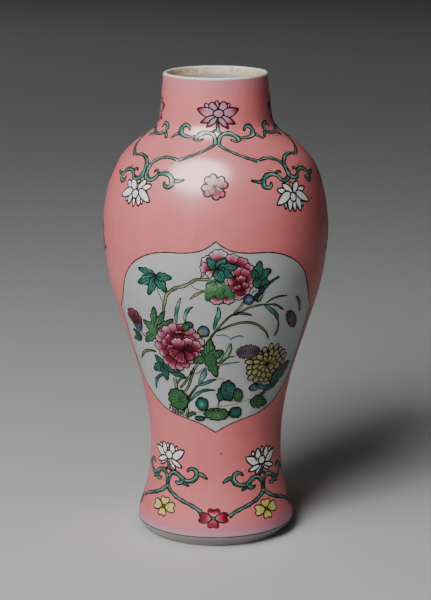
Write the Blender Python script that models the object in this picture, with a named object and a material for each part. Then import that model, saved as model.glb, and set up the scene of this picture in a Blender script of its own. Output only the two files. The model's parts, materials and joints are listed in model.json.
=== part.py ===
"""A pink-ground porcelain baluster vase, built up in the order a potter builds it.

Four thrown sections are luted together with slip, glazed inside, outside and under the foot, and then
coated with a pink enamel ground that leaves a shaped white panel open on the front and on the back.
Heights and radii are in millimetres here and become metres when a mesh is made. The vase stands on the
origin with +Z up, and its front panel faces -Y.
"""

import math

import bmesh
import bpy
from mathutils import Vector
from mathutils.geometry import delaunay_2d_cdt

MM = 0.001
SEGMENTS = 32  # facets round the vase

# The outer face: (height, radius) stations from the foot's lower edge to the lip.
WALL = [
    (5.5, 42.4),
    (11.0, 42.0),
    (19.0, 39.4),
    (31.0, 36.5),
    (46.0, 35.5),
    (64.0, 36.5),
    (86.0, 40.6),
    (112.0, 48.7),
    (138.0, 56.5),
    (162.0, 59.9),
    (180.0, 59.2),
    (194.0, 55.9),
    (204.0, 51.2),
    (212.0, 44.0),
    (219.0, 34.3),
    (224.0, 30.5),
    (234.0, 29.0),
    (248.0, 27.7),
]
TALLEST_FACET = 13.0  # a longer stretch between stations gets a row of its own in the middle

# The joints between the thrown sections, each at a station of the wall.
WAIST_JOINT = 46.0
BELLY_JOINT = 162.0
NECK_JOINT = 219.0
SLIP_HALF = 0.4  # half the height of a slip joint
GAP = 0.3  # air left between neighbouring pieces

# Layers, from the outer face inwards.
ENAMEL = 0.3
GLAZE = 0.4
SHEET_SEAM = -90.0  # degrees; the side between the panels, where the wrapped ground closes
GLAZE_FACE = ENAMEL + GAP
PASTE_FACE = GLAZE_FACE + GLAZE + GAP
PASTE_THICKNESS = [(5.5, 5.2), (46.0, 3.8), (162.0, 3.2), (219.0, 2.1), (248.0, 1.7)]

# The lip is bare paste that comes out flush with the enamel.
LIP_BOTTOM = 247.6
LIP_TOP = 250.0
LIP_CROWN_RADIUS = 26.6
INNER_GLAZE_TOP = 246.0

# The foot: an undercut below its widest edge, a flat standing ring and a recess under the floor.
EDGE = Vector((WALL[0][1], WALL[0][0]))
UNDERCUT_FOOT = Vector((38.4, 1.3))
STANDING_OUTER = 37.4
STANDING_INNER = 31.4
RECESS_RADIUS = 30.4
RECESS_CEILING = 9.0
FLOOR_TOP = 15.0
GROUND_BOTTOM = 7.2  # the pink ground stops here and the foot line runs below it
FOOT_LINE = (5.9, 6.7)

# Half of a panel's outline from its top point round to its bottom point: (degrees, height).
PANEL_HALF = [
    (0.0, 170.8),
    (4.0, 167.6),
    (9.0, 165.4),
    (17.0, 164.2),
    (26.0, 164.0),
    (34.0, 162.4),
    (41.0, 159.4),
    (47.5, 155.0),
    (53.0, 148.8),
    (57.5, 141.0),
    (61.0, 134.0),
    (68.5, 128.5),
    (69.0, 118.0),
    (71.5, 107.0),
    (73.0, 98.5),
    (69.5, 87.5),
    (58.0, 80.3),
    (48.0, 75.2),
    (36.0, 72.0),
    (23.0, 69.9),
    (10.0, 67.0),
    (0.0, 63.0),
]
PANELS = {"front": 0.0, "back": 180.0}
BORDER_INSET = 0.4
BORDER_WIDTH = 0.9
SHARPEST_MITRE = 0.6  # keeps the border from spiking at the outline's points

PASTE_COLOUR = (0.80, 0.75, 0.66)
SLIP_COLOUR = (0.74, 0.69, 0.60)
GLAZE_COLOUR = (0.80, 0.80, 0.78)
PINK_COLOUR = (0.66, 0.30, 0.30)
LINE_COLOUR = (0.05, 0.02, 0.02)


def interpolate(stations, height):
    """The value at a height, on a smooth curve through (height, value) stations."""
    last = len(stations) - 2
    index = max(i for i in range(last + 1) if stations[i][0] <= height or i == 0)
    (low, start), (high, end) = stations[index], stations[index + 1]

    def slope(i):
        before, after = stations[max(i - 1, 0)], stations[min(i + 1, last + 1)]
        return (after[1] - before[1]) / (after[0] - before[0])

    span = high - low
    t = (height - low) / span
    return (
        (2 * t**3 - 3 * t**2 + 1) * start
        + (t**3 - 2 * t**2 + t) * span * slope(index)
        + (3 * t**2 - 2 * t**3) * end
        + (t**3 - t**2) * span * slope(index + 1)
    )


def radius(height):
    return interpolate(WALL, height)


def wall_normal(height):
    """The wall's outward normal as (radial, vertical) parts."""
    step = 0.1
    lean = (radius(height + step) - radius(height - step)) / (2 * step)
    return Vector((1.0, -lean)).normalized()


def wall(height, depth):
    """A (radius, height) point this deep under the outer face."""
    return Vector((radius(height), height)) - depth * wall_normal(height)


def inner_depth(height):
    """How deep the paste's inner face lies under the outer face."""
    return PASTE_FACE + interpolate(PASTE_THICKNESS, height)


def rows(low, high):
    """Heights of the mesh rows from low to high, ends included."""
    heights = [h for h, _ in WALL]
    middles = [(a + b) / 2 for a, b in zip(heights, heights[1:]) if b - a > TALLEST_FACET]
    between = [h for h in sorted(heights + middles) if low + 1 < h < high - 1]
    return [low, *between, high]


def inner_rows(low, high):
    """The inner faces need only the wall's own stations."""
    return [low, *(h for h, _ in WALL if low + 1 < h < high - 1), high]


def undercut_points(depth):
    """The foot's widest edge and the end of its undercut, this deep under the outer face."""
    along = (UNDERCUT_FOOT - EDGE).normalized()
    under = Vector((-along.y, along.x))
    over = wall_normal(EDGE.y)
    corner = EDGE - depth * (over + under) / (1 + over.dot(under))
    return [corner, UNDERCUT_FOOT - depth * under]


def material(name, colour, roughness, coat):
    made = bpy.data.materials.new(name)
    made.use_nodes = True
    shader = made.node_tree.nodes["Principled BSDF"]
    shader.inputs["Base Color"].default_value = (*colour, 1.0)
    shader.inputs["Roughness"].default_value = roughness
    shader.inputs["Metallic"].default_value = 0.0
    shader.inputs["Coat Weight"].default_value = coat
    return made


def add_object(name, mesh, finish):
    thing = bpy.data.objects.new(name, mesh)
    bpy.context.scene.collection.objects.link(thing)
    mesh.materials.append(finish)
    return thing


def turned(name, profile, finish):
    """A turned piece. The profile of (radius, height) points runs down its outer side."""
    closed = profile[0][0] > 0
    count = len(profile)
    edges = [(i, (i + 1) % count) for i in range(count if closed else count - 1)]
    mesh = bpy.data.meshes.new(name)
    mesh.from_pydata([(r * MM, 0.0, h * MM) for r, h in profile], edges, [])
    thing = add_object(name, mesh, finish)
    screw = thing.modifiers.new("Turn", "SCREW")
    screw.axis = "Z"
    screw.angle = math.tau
    screw.steps = SEGMENTS
    screw.render_steps = SEGMENTS
    screw.use_merge_vertices = True
    screw.merge_threshold = 0.00001
    screw.use_smooth_shade = True
    return thing


def paste_sections():
    paste = material("bare_paste", PASTE_COLOUR, 0.6, 0.0)
    slip = material("luting_slip", SLIP_COLOUR, 0.8, 0.0)
    clear = SLIP_HALF + GAP

    def outer(low, high):
        return [wall(h, PASTE_FACE) for h in reversed(rows(low, high))]

    def inner(low, high):
        return [wall(h, inner_depth(h)) for h in inner_rows(low, high)]

    foot_inside = [(0, FLOOR_TOP), (16, FLOOR_TOP + 0.3), (25, FLOOR_TOP + 2.5)]
    foot_outside = rows(EDGE.y, WAIST_JOINT - clear)[1:]
    standing = [
        (STANDING_OUTER, 0),
        (STANDING_INNER, 0),
        (STANDING_INNER - 0.3, 3),
        (RECESS_RADIUS, RECESS_CEILING - 1.5),
        (RECESS_RADIUS - 2.5, RECESS_CEILING),
        (0, RECESS_CEILING),
    ]
    turned(
        "foot_section",
        foot_inside
        + inner(26.0, WAIST_JOINT - clear)
        + [wall(h, PASTE_FACE) for h in reversed(foot_outside)]
        + undercut_points(PASTE_FACE)
        + standing,
        paste,
    )
    for name, low, high in (
        ("belly_section", WAIST_JOINT, BELLY_JOINT),
        ("shoulder_section", BELLY_JOINT, NECK_JOINT),
    ):
        turned(name, outer(low + clear, high - clear) + inner(low + clear, high - clear), paste)

    lip_inner = wall(LIP_BOTTOM, inner_depth(LIP_BOTTOM)).x
    lip = [
        (lip_inner + 0.3, LIP_TOP - 0.5),
        (LIP_CROWN_RADIUS, LIP_TOP),
        (radius(LIP_TOP) - 0.3, LIP_TOP - 0.4),
        (radius(LIP_BOTTOM + 1), LIP_BOTTOM + 1),
        (radius(LIP_BOTTOM + GAP), LIP_BOTTOM + GAP),
    ]
    turned(
        "neck_section",
        lip
        + outer(NECK_JOINT + clear, LIP_BOTTOM + GAP)
        + inner(NECK_JOINT + clear, LIP_BOTTOM),
        paste,
    )
    for name, joint in (
        ("waist_slip_joint", WAIST_JOINT),
        ("belly_slip_joint", BELLY_JOINT),
        ("neck_slip_joint", NECK_JOINT),
    ):
        top, bottom = joint + SLIP_HALF, joint - SLIP_HALF
        ring = [wall(top, PASTE_FACE), wall(bottom, PASTE_FACE)]
        ring += [wall(bottom, inner_depth(bottom)), wall(top, inner_depth(top))]
        turned(name, ring, slip)


def glazes():
    glaze = material("clear_white_glaze", GLAZE_COLOUR, 0.12, 0.5)
    heights = rows(EDGE.y, LIP_BOTTOM)[1:]
    face = [wall(h, GLAZE_FACE) for h in reversed(heights)] + undercut_points(GLAZE_FACE)
    back = [wall(h, GLAZE_FACE + GLAZE) for h in reversed(heights)]
    back += undercut_points(GLAZE_FACE + GLAZE)
    turned("outer_glaze", face + back[::-1], glaze)

    heights = inner_rows(26.0, INNER_GLAZE_TOP)
    touching = [wall(h, inner_depth(h) + GAP) for h in heights]
    inside = [wall(h, inner_depth(h) + GAP + GLAZE) for h in heights]
    lift = FLOOR_TOP + GAP
    turned(
        "inner_glaze",
        [(0, lift + GLAZE), (16, lift + 0.3 + GLAZE), (24.7, lift + 2.6 + GLAZE)]
        + inside
        + touching[::-1]
        + [(25.0 - GAP, lift + 2.5), (16, lift + 0.3), (0, lift)],
        glaze,
    )

    top = RECESS_CEILING - GAP
    edge = RECESS_RADIUS - 2.5
    turned(
        "base_glaze",
        [(0, top), (edge, top), (edge + 0.2, top - GLAZE), (0, top - GLAZE)],
        glaze,
    )


def on_wall(degrees, height):
    """A point of the outer face in metres, with 0 degrees at the front and 90 at +X."""
    turn = math.radians(degrees)
    out = radius(height) * MM
    return (out * math.sin(turn), -out * math.cos(turn), height * MM)


def panel_outline(centre):
    """A panel's closed outline, anticlockwise as seen from outside."""
    left = [(centre - a, h) for a, h in PANEL_HALF]
    right = [(centre + a, h) for a, h in PANEL_HALF[-2:0:-1]]
    return left + right


def inset(outline, distance):
    """The outline moved inwards, this many millimetres along the wall."""
    moved = []
    count = len(outline)
    for i, (a, h) in enumerate(outline):
        per_degree = radius(h) * math.radians(1)
        (a0, h0), (a1, h1) = outline[i - 1], outline[(i + 1) % count]
        before = Vector(((a - a0) * per_degree, h - h0)).normalized()
        after = Vector(((a1 - a) * per_degree, h1 - h)).normalized()
        inward = Vector((-before.y - after.y, before.x + after.x))
        step = distance * inward / max(1 + before.dot(after), SHARPEST_MITRE)
        moved.append((a + step.x / per_degree, h + step.y))
    return moved


def enamel_skin(name, mesh, finish):
    thing = add_object(name, mesh, finish)
    thing.data.shade_smooth()
    solidify = thing.modifiers.new("Thickness", "SOLIDIFY")
    solidify.thickness = ENAMEL * MM
    solidify.offset = -1.0
    return thing


def pink_ground():
    """The ground is a flat sheet with two holes, wrapped round the wall and given its thickness."""
    heights = rows(GROUND_BOTTOM, LIP_BOTTOM)
    step = 360.0 / SEGMENTS
    columns = [SHEET_SEAM + step * i for i in range(SEGMENTS + 1)]
    row = len(columns)
    points = [(a, h) for h in heights for a in columns]
    edges = []
    for start in (0, len(points) - row):
        edges += [(start + i, start + i + 1) for i in range(row - 1)]
    for start in (0, row - 1):
        side = range(start, len(points), row)
        edges += list(zip(side, side[1:]))
    holes = [panel_outline(centre) for centre in PANELS.values()]
    for outline in holes:
        ring = range(len(points), len(points) + len(outline))
        edges += list(zip(ring, [*ring[1:], ring[0]]))
        points += outline
    flat = [Vector((a / step, h / TALLEST_FACET)) for a, h in points]
    verts, _, faces, _, _, _ = delaunay_2d_cdt(flat, edges, [], 0, 1e-6)
    where = [(v.x * step, v.y * TALLEST_FACET) for v in verts]
    kept = []
    for face in faces:
        middle = [sum(where[i][k] for i in face) / len(face) for k in (0, 1)]
        if not any(inside(middle, hole) for hole in holes):
            kept.append(face)
    mesh = bpy.data.meshes.new("pink_enamel_ground")
    mesh.from_pydata([on_wall(a, h) for a, h in where], [], kept)
    sheet = bmesh.new()
    sheet.from_mesh(mesh)
    bmesh.ops.remove_doubles(sheet, verts=sheet.verts, dist=0.00001)
    bmesh.ops.delete(sheet, geom=[v for v in sheet.verts if not v.link_faces], context="VERTS")
    bmesh.ops.recalc_face_normals(sheet, faces=sheet.faces)
    sheet.to_mesh(mesh)
    sheet.free()
    enamel_skin("pink_enamel_ground", mesh, material("pink_enamel", PINK_COLOUR, 0.25, 0.4))


def inside(point, outline):
    """Whether a flat point lies inside a closed outline."""
    crossings = 0
    for (ax, ay), (bx, by) in zip(outline, outline[1:] + outline[:1]):
        if (ay > point[1]) != (by > point[1]):
            crossings += point[0] < ax + (point[1] - ay) * (bx - ax) / (by - ay)
    return crossings % 2 == 1


def panel_borders():
    line = material("dark_line_enamel", LINE_COLOUR, 0.35, 0.2)
    for side, centre in PANELS.items():
        outline = panel_outline(centre)
        outer = inset(outline, BORDER_INSET)
        inner = inset(outline, BORDER_INSET + BORDER_WIDTH)
        count = len(outline)
        faces = [(i, (i + 1) % count, count + (i + 1) % count, count + i) for i in range(count)]
        mesh = bpy.data.meshes.new(side + "_panel_border")
        mesh.from_pydata([on_wall(a, h) for a, h in outer + inner], [], faces)
        enamel_skin(side + "_panel_border", mesh, line)
    low, high = FOOT_LINE
    ring = [wall(high, 0), wall(low, 0), wall(low, ENAMEL), wall(high, ENAMEL)]
    turned("foot_line_enamel", ring, line)


def main():
    for thing in list(bpy.data.objects):
        bpy.data.objects.remove(thing)
    paste_sections()
    glazes()
    pink_ground()
    panel_borders()


main()
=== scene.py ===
"""The looks of a pink-ground porcelain baluster vase.

Every turned layer of the CAD model is made again on a fine lathe, and the enamel painting is laid on as
thin raised strokes and patches. Places on the vase are (degrees, height): 0 degrees is the middle of the
front, +90 is the right side (+X), and heights are millimetres above the table.
"""

import json
import math
import random

import bpy
import numpy as np
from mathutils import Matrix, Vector
from mathutils.geometry import delaunay_2d_cdt

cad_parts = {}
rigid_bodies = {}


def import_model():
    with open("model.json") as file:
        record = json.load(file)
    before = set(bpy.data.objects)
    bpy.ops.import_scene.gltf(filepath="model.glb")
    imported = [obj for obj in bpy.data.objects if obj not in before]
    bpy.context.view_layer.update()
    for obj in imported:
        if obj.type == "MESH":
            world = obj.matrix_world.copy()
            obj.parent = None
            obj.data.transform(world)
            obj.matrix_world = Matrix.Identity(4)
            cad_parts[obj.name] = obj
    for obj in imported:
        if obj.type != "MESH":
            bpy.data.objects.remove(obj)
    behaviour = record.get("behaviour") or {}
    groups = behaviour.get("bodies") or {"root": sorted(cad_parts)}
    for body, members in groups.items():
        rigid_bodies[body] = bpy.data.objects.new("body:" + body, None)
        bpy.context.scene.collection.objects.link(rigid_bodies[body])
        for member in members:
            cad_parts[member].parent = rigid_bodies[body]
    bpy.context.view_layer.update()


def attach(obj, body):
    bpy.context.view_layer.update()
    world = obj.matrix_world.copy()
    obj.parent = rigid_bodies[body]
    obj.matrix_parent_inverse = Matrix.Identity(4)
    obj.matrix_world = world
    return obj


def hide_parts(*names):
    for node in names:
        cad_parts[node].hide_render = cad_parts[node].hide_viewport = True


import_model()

rng = random.Random(7)  # shakes every brush stroke a little

MM = 0.001

# ---------------------------------------------------------------- the turned wall

WALL = [
    (5.5, 42.4),
    (11, 42),
    (19, 39.4),
    (31, 36.5),
    (46, 35.5),
    (64, 36.5),
    (86, 40.6),
    (112, 48.7),
    (138, 56.5),
    (162, 59.9),
    (180, 59.2),
    (194, 55.9),
    (204, 51.2),
    (212, 44),
    (219, 34.3),
    (224, 30.5),
    (234, 29),
    (248, 27.7),
]
TABLE_STEP = 0.5
SMOOTHING_PASSES = 24
FOOT_HEIGHT, LIP_HEIGHT = WALL[0][0], WALL[-1][0]
CHORD_GAP = 0.012  # how far a facet may stand off the true wall
FINE_ROWS = 600


def hermite(stations, heights):
    """A smooth curve through (height, value) stations, read at an array of heights."""
    x, y = np.array(stations).T
    slopes = np.gradient(y)
    slopes[1:-1] = (y[2:] - y[:-2]) / (x[2:] - x[:-2])
    slopes[0], slopes[-1] = (y[1] - y[0]) / (x[1] - x[0]), (y[-1] - y[-2]) / (x[-1] - x[-2])
    i = np.clip(np.searchsorted(x, heights, side="right") - 1, 0, len(x) - 2)
    span = x[i + 1] - x[i]
    t = (heights - x[i]) / span
    rise = (2 * t**3 - 3 * t**2 + 1) * y[i] + (3 * t**2 - 2 * t**3) * y[i + 1]
    return rise + span * ((t**3 - 2 * t**2 + t) * slopes[i] + (t**3 - t**2) * slopes[i + 1])


TABLE_HEIGHTS = np.arange(FOOT_HEIGHT, LIP_HEIGHT + TABLE_STEP / 2, TABLE_STEP)
TABLE_RADII = hermite(WALL, TABLE_HEIGHTS)
for _ in range(SMOOTHING_PASSES):
    TABLE_RADII[1:-1] = (TABLE_RADII[:-2] + 2 * TABLE_RADII[1:-1] + TABLE_RADII[2:]) / 4
TABLE_SLOPES = np.gradient(TABLE_RADII, TABLE_STEP)


def radius(height):
    return np.interp(height, TABLE_HEIGHTS, TABLE_RADII)


def slope(height):
    return np.interp(height, TABLE_HEIGHTS, TABLE_SLOPES)


def across(height):
    """Millimetres of wall per degree round the vase."""
    return radius(height) * math.pi / 180


def along(height):
    """Millimetres of wall per millimetre of height."""
    return np.sqrt(1 + slope(height) ** 2)


def wall(height, depth):
    """(radius, height) this deep under the enamel's face."""
    lean, scale = slope(height), along(height)
    return float(radius(height) - depth / scale), float(height + depth * lean / scale)


def place(degrees, heights, lifts):
    """Points in metres, lifted off the wall along its normal. Takes arrays."""
    lean, scale = slope(heights), along(heights)
    out = radius(heights) + lifts / scale
    up = heights - lifts * lean / scale
    turn = np.radians(degrees)
    return np.stack([out * np.sin(turn), -out * np.cos(turn), up], axis=-1) * MM


def rows_between(low, high, spacing):
    """Heights whose rows lie about this far apart along the wall, and closer where it bends."""
    fine = np.linspace(low, high, FINE_ROWS)
    bend = np.abs(np.gradient(slope(fine), fine)) / along(fine) ** 3
    closer = np.clip(np.sqrt(bend * spacing**2 / (8 * CHORD_GAP)), 1.0, 4.0)
    run = np.concatenate([[0], np.cumsum((np.diff(fine) * along(fine[1:])) * closer[1:])])
    count = max(2, int(round(run[-1] / spacing)) + 1)
    return np.interp(np.linspace(0, run[-1], count), run, fine)


# ---------------------------------------------------------------- materials


class Shading:
    """A material: its principled shader and the procedural nodes that feed it."""

    def __init__(self, name, roughness, specular=0.5, coat=0.0, coat_roughness=0.06):
        self.material = bpy.data.materials.new(name)
        self.material.use_nodes = True
        self.nodes = self.material.node_tree.nodes
        self.links = self.material.node_tree.links
        self.shader = self.nodes["Principled BSDF"]
        self.shader.inputs["Roughness"].default_value = roughness
        self.shader.inputs["Specular IOR Level"].default_value = specular
        self.shader.inputs["Coat Weight"].default_value = coat
        self.shader.inputs["Coat Roughness"].default_value = coat_roughness

    def feed(self, socket, value):
        """Links a socket, or gives it a plain value or a linear colour."""
        if isinstance(value, bpy.types.NodeSocket):
            self.links.new(value, socket)
        elif socket.type == "RGBA":
            socket.default_value = (*value, 1.0)
        else:
            socket.default_value = value

    def node(self, kind, inputs, **settings):
        """A new node with its inputs fed, as {socket: value}."""
        node = self.nodes.new("ShaderNode" + kind)
        for key, value in settings.items():
            setattr(node, key, value)
        for socket, value in inputs.items():
            self.feed(node.inputs[socket], value)
        return node

    def noise(self, scale, detail, stretch=(1.0, 1.0, 1.0)):
        """Noise in the object's own space, with its scale per metre."""
        place_in = self.node("TexCoord", {}).outputs["Object"]
        mapped = self.node("Mapping", {"Vector": place_in, "Scale": stretch}).outputs["Vector"]
        return self.node("TexNoise", {"Vector": mapped, "Scale": scale, "Detail": detail}).outputs["Fac"]

    def fade(self, low, high):
        """0 at one height in metres, 1 at the other, smooth in between."""
        place_in = self.node("TexCoord", {}).outputs["Object"]
        height = self.node("SeparateXYZ", {0: place_in}).outputs["Z"]
        limits = {"Value": height, "From Min": low, "From Max": high}
        return self.node("MapRange", limits, interpolation_type="SMOOTHSTEP").outputs["Result"]

    def maths(self, operation, *values, clamp=False):
        return self.node("Math", dict(enumerate(values)), operation=operation, use_clamp=clamp).outputs[0]

    def ramp(self, source, stops):
        """Colours along a 0 to 1 value, as (position, linear colour) stops."""
        node = self.node("ValToRGB", {"Fac": source})
        elements = node.color_ramp.elements
        while len(elements) < len(stops):
            elements.new(0.5)
        for element, (position, colour) in zip(elements, stops):
            element.position = position
            element.color = (*colour, 1.0)
        return node.outputs["Color"]

    def mix(self, factor, first, second):
        return self.node("Mix", {0: factor, 6: first, 7: second}, data_type="RGBA").outputs[2]

    def colour(self, value):
        self.feed(self.shader.inputs["Base Color"], value)

    def bump(self, scale, detail, distance, strength):
        height = self.noise(scale, detail)
        node = self.node("Bump", {"Strength": strength, "Distance": distance, "Height": height})
        self.links.new(node.outputs["Normal"], self.shader.inputs["Normal"])


def pink_enamel():
    """Opaque rose-pink enamel: brushed on unevenly, cooler and thinner where it ends at the rim and foot."""
    enamel = Shading("pink_enamel", 0.5, 0.05, coat=0.45, coat_roughness=0.25)
    cloud = enamel.noise(28, 5.0)
    streak = enamel.noise(260, 4.0, stretch=(1.0, 1.0, 0.22))
    uneven = enamel.maths("MULTIPLY_ADD", streak, 0.35, cloud)
    uneven = enamel.maths("SUBTRACT", uneven, 0.16, clamp=True)
    pinks = [(0.25, (0.745, 0.186, 0.194)), (0.5, (0.80, 0.212, 0.22)), (0.75, (0.83, 0.238, 0.245))]
    lilac = (0.74, 0.25, 0.32)
    pale = (0.66, 0.37, 0.45)
    colour = enamel.ramp(uneven, pinks)
    for low, high, thinner in ((0.239, 0.2495, lilac), (0.0155, 0.0095, lilac), (0.0105, 0.0070, pale)):
        colour = enamel.mix(enamel.fade(low, high), colour, thinner)
    enamel.colour(colour)
    enamel.bump(900, 3.0, 0.00014, 0.4)
    return enamel.material


def white_glaze(name="white_glaze", tinted_and_shaded_foot=False):
    """Cool glossy glaze with faint clouding and the slight unevenness of a fired surface."""
    glaze = Shading(name, 0.16, 0.25, coat=0.3)
    colour = glaze.ramp(glaze.noise(35, 4.0), [(0.3, (0.49, 0.50, 0.495)), (0.7, (0.54, 0.55, 0.545))])
    # Below the foot's edge the glaze is mixed darker and mauve: partly its own tint there, partly painted
    # shade in the undercut.
    if tinted_and_shaded_foot:
        colour = glaze.mix(glaze.fade(0.0062, 0.0045), colour, (0.50, 0.44, 0.45))
    glaze.colour(colour)
    glaze.bump(160, 2.0, 0.0001, 0.25)
    return glaze.material


def bare_paste():
    """Unglazed porcelain: tan and rubbed darker in its pores, cream on the crown of the lip."""
    paste = Shading("bare_paste", 0.6, 0.2)
    tan = [(0.3, (0.44, 0.32, 0.18)), (0.5, (0.70, 0.56, 0.36)), (0.7, (0.80, 0.67, 0.48))]
    cream = (0.90, 0.82, 0.70)
    paste.colour(paste.mix(paste.fade(0.2488, 0.2499), paste.ramp(paste.noise(300, 6.0), tan), cream))
    paste.bump(1500, 4.0, 0.0002, 0.5)
    return paste.material


def luting_slip():
    slip = Shading("luting_slip", 0.8)
    slip.colour(slip.ramp(slip.noise(700, 5.0), [(0.3, (0.55, 0.48, 0.38)), (0.7, (0.72, 0.66, 0.55))]))
    return slip.material


# Each pigment: the record's slot, how much its tone wanders, its roughness, and its linear colours,
# dark to light, as (tone, red, green, blue).
PIGMENTS = {
    "line": ("line_enamel", 0.5, 0.38, [(0, 0.004, 0.002, 0.003), (1, 0.036, 0.017, 0.018)]),
    "maroon": ("line_enamel", 0.5, 0.38, [(0, 0.018, 0.001, 0.004), (1, 0.09, 0.006, 0.014)]),
    "brown": ("line_enamel", 0.5, 0.38, [(0, 0.022, 0.007, 0.006), (1, 0.085, 0.03, 0.024)]),
    "dull_brown": ("line_enamel", 0.5, 0.4, [(0, 0.16, 0.08, 0.09), (1, 0.3, 0.17, 0.19)]),
    "turquoise": ("turquoise_enamel", 0.5, 0.22, [
        (0, 0.006, 0.032, 0.025), (0.45, 0.028, 0.175, 0.128), (0.75, 0.085, 0.32, 0.24),
        (1, 0.38, 0.62, 0.52),
    ]),
    "green": ("green_enamel", 0.5, 0.22, [
        (0, 0.012, 0.041, 0.016), (0.45, 0.048, 0.175, 0.064), (0.75, 0.13, 0.31, 0.14),
        (1, 0.4, 0.55, 0.36),
    ]),
    "olive": ("green_enamel", 0.35, 0.25, [
        (0, 0.07, 0.08, 0.035), (0.5, 0.22, 0.3, 0.11), (1, 0.5, 0.58, 0.34),
    ]),
    "rose": ("rose_enamel", 0.25, 0.26, [
        (0, 0.1, 0.001, 0.006), (0.3, 0.34, 0.006, 0.024), (0.55, 0.6, 0.07, 0.13), (0.8, 0.76, 0.36, 0.42),
        (1, 0.84, 0.74, 0.73),
    ]),
    "peony": ("rose_enamel", 0.4, 0.26, [
        (0, 0.035, 0.001, 0.004), (0.3, 0.16, 0.006, 0.018), (0.55, 0.38, 0.05, 0.095),
        (0.8, 0.63, 0.27, 0.37), (1, 0.86, 0.7, 0.76),
    ]),
    "lilac": ("rose_enamel", 0.25, 0.26, [
        (0, 0.08, 0.001, 0.006), (0.25, 0.26, 0.006, 0.02), (0.5, 0.52, 0.1, 0.18),
        (0.75, 0.58, 0.25, 0.36), (1, 0.62, 0.34, 0.44),
    ]),
    "white": ("white_enamel", 0.3, 0.5, [
        (0, 0.62, 0.62, 0.61), (0.5, 0.84, 0.84, 0.83), (1, 0.96, 0.96, 0.95),
    ]),
    "yellow": ("yellow_enamel", 0.35, 0.26, [
        (0, 0.42, 0.28, 0.01), (0.5, 0.74, 0.62, 0.08), (1, 0.92, 0.88, 0.42),
    ]),
    "ochre": ("yellow_enamel", 0.45, 0.26, [
        (0, 0.125, 0.085, 0.014), (0.5, 0.44, 0.38, 0.14), (1, 0.72, 0.66, 0.36),
    ]),
    "aubergine": ("aubergine_enamel", 0.5, 0.26, [
        (0, 0.024, 0.015, 0.022), (0.5, 0.115, 0.082, 0.105), (1, 0.33, 0.28, 0.32),
    ]),
    "blue": ("blue_enamel", 0.4, 0.24, [
        (0, 0.012, 0.022, 0.065), (0.5, 0.085, 0.14, 0.21), (1, 0.36, 0.44, 0.5),
    ]),
}
FIRED_DARKER = 0.85  # every pigment but the white fires this much darker than its colours above


def pigment_material(name):
    """Enamel whose colour follows the tone that the brush left at each point."""
    slot, wander, roughness, colours = PIGMENTS[name]
    drawn = slot == "line_enamel"
    enamel = Shading(name + "_enamel", roughness, 0.06 if drawn else 0.15, coat=0.0 if drawn else 0.06)
    tone = enamel.node("Attribute", {}, attribute_name="tone").outputs["Fac"]
    spread = enamel.maths("MULTIPLY", enamel.maths("SUBTRACT", enamel.noise(480, 3.0), 0.5), wander)
    darker = 1.0 if name == "white" else FIRED_DARKER
    stops = [(at, tuple(darker * part for part in colour)) for at, *colour in colours]
    enamel.colour(enamel.ramp(enamel.maths("ADD", tone, spread, clamp=True), stops))
    enamel.bump(1200, 2.0, 0.00008, 0.4)
    return enamel.material


# ---------------------------------------------------------------- turned pieces

MANY_SIDES, FEWER_SIDES = 240, 128  # how many sides a turned piece has round its axis


def add_piece(name, mesh, material, slot, *nodes):
    piece = bpy.data.objects.new(name, mesh)
    bpy.context.scene.collection.objects.link(piece)
    mesh.materials.append(material)
    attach(piece, "root")
    if nodes:
        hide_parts(*nodes)


def smooth(mesh, sharp_degrees=40):
    mesh.shade_smooth()
    mesh.set_sharp_from_angle(angle=math.radians(sharp_degrees))


def turned(name, profile, material, slot, node, sides=MANY_SIDES):
    """A closed turned piece. The profile runs down its outer side, in (radius, height) millimetres."""
    rings = [(r, h) for r, h in profile if r > 0]
    on_axis = [h for r, h in profile if r <= 0]
    turn = np.arange(sides) * math.tau / sides
    points = [(r * math.sin(t) * MM, -r * math.cos(t) * MM, h * MM) for r, h in rings for t in turn]
    faces = []
    count = len(rings)
    for ring in range(count if not on_axis else count - 1):
        after = (ring + 1) % count
        for i in range(sides):
            j = (i + 1) % sides
            a, b = after * sides, ring * sides
            faces.append((a + i, a + j, b + j, b + i))
    for ring, height, way in zip((0, count - 1), on_axis, (1, -1)):
        centre = len(points)
        points.append((0.0, 0.0, height * MM))
        for i in range(sides):
            j = (i + 1) % sides
            faces.append((centre, ring * sides + i, ring * sides + j)[::way])
    mesh = bpy.data.meshes.new(name)
    mesh.from_pydata(points, [], faces)
    smooth(mesh)
    add_piece(name, mesh, material, slot, node)


# Depths under the enamel's face, in millimetres. The inner faces are where the CAD model has them.
ENAMEL_THICKNESS = 0.12
GLAZE_DEPTH = 0.14
GLAZE_BACK = 0.55
PASTE_DEPTH = 0.57
PASTE_INNER = [(5.5, 6.5), (46.0, 5.1), (162.0, 4.5), (219.0, 3.4), (248.0, 3.0)]
LAYER_GAP = 0.02
INNER_GLAZE_THICKNESS = 0.6
SLIP_HALF = 0.4  # half the height of a slip joint
JOINT_CLEAR = SLIP_HALF + LAYER_GAP

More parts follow.
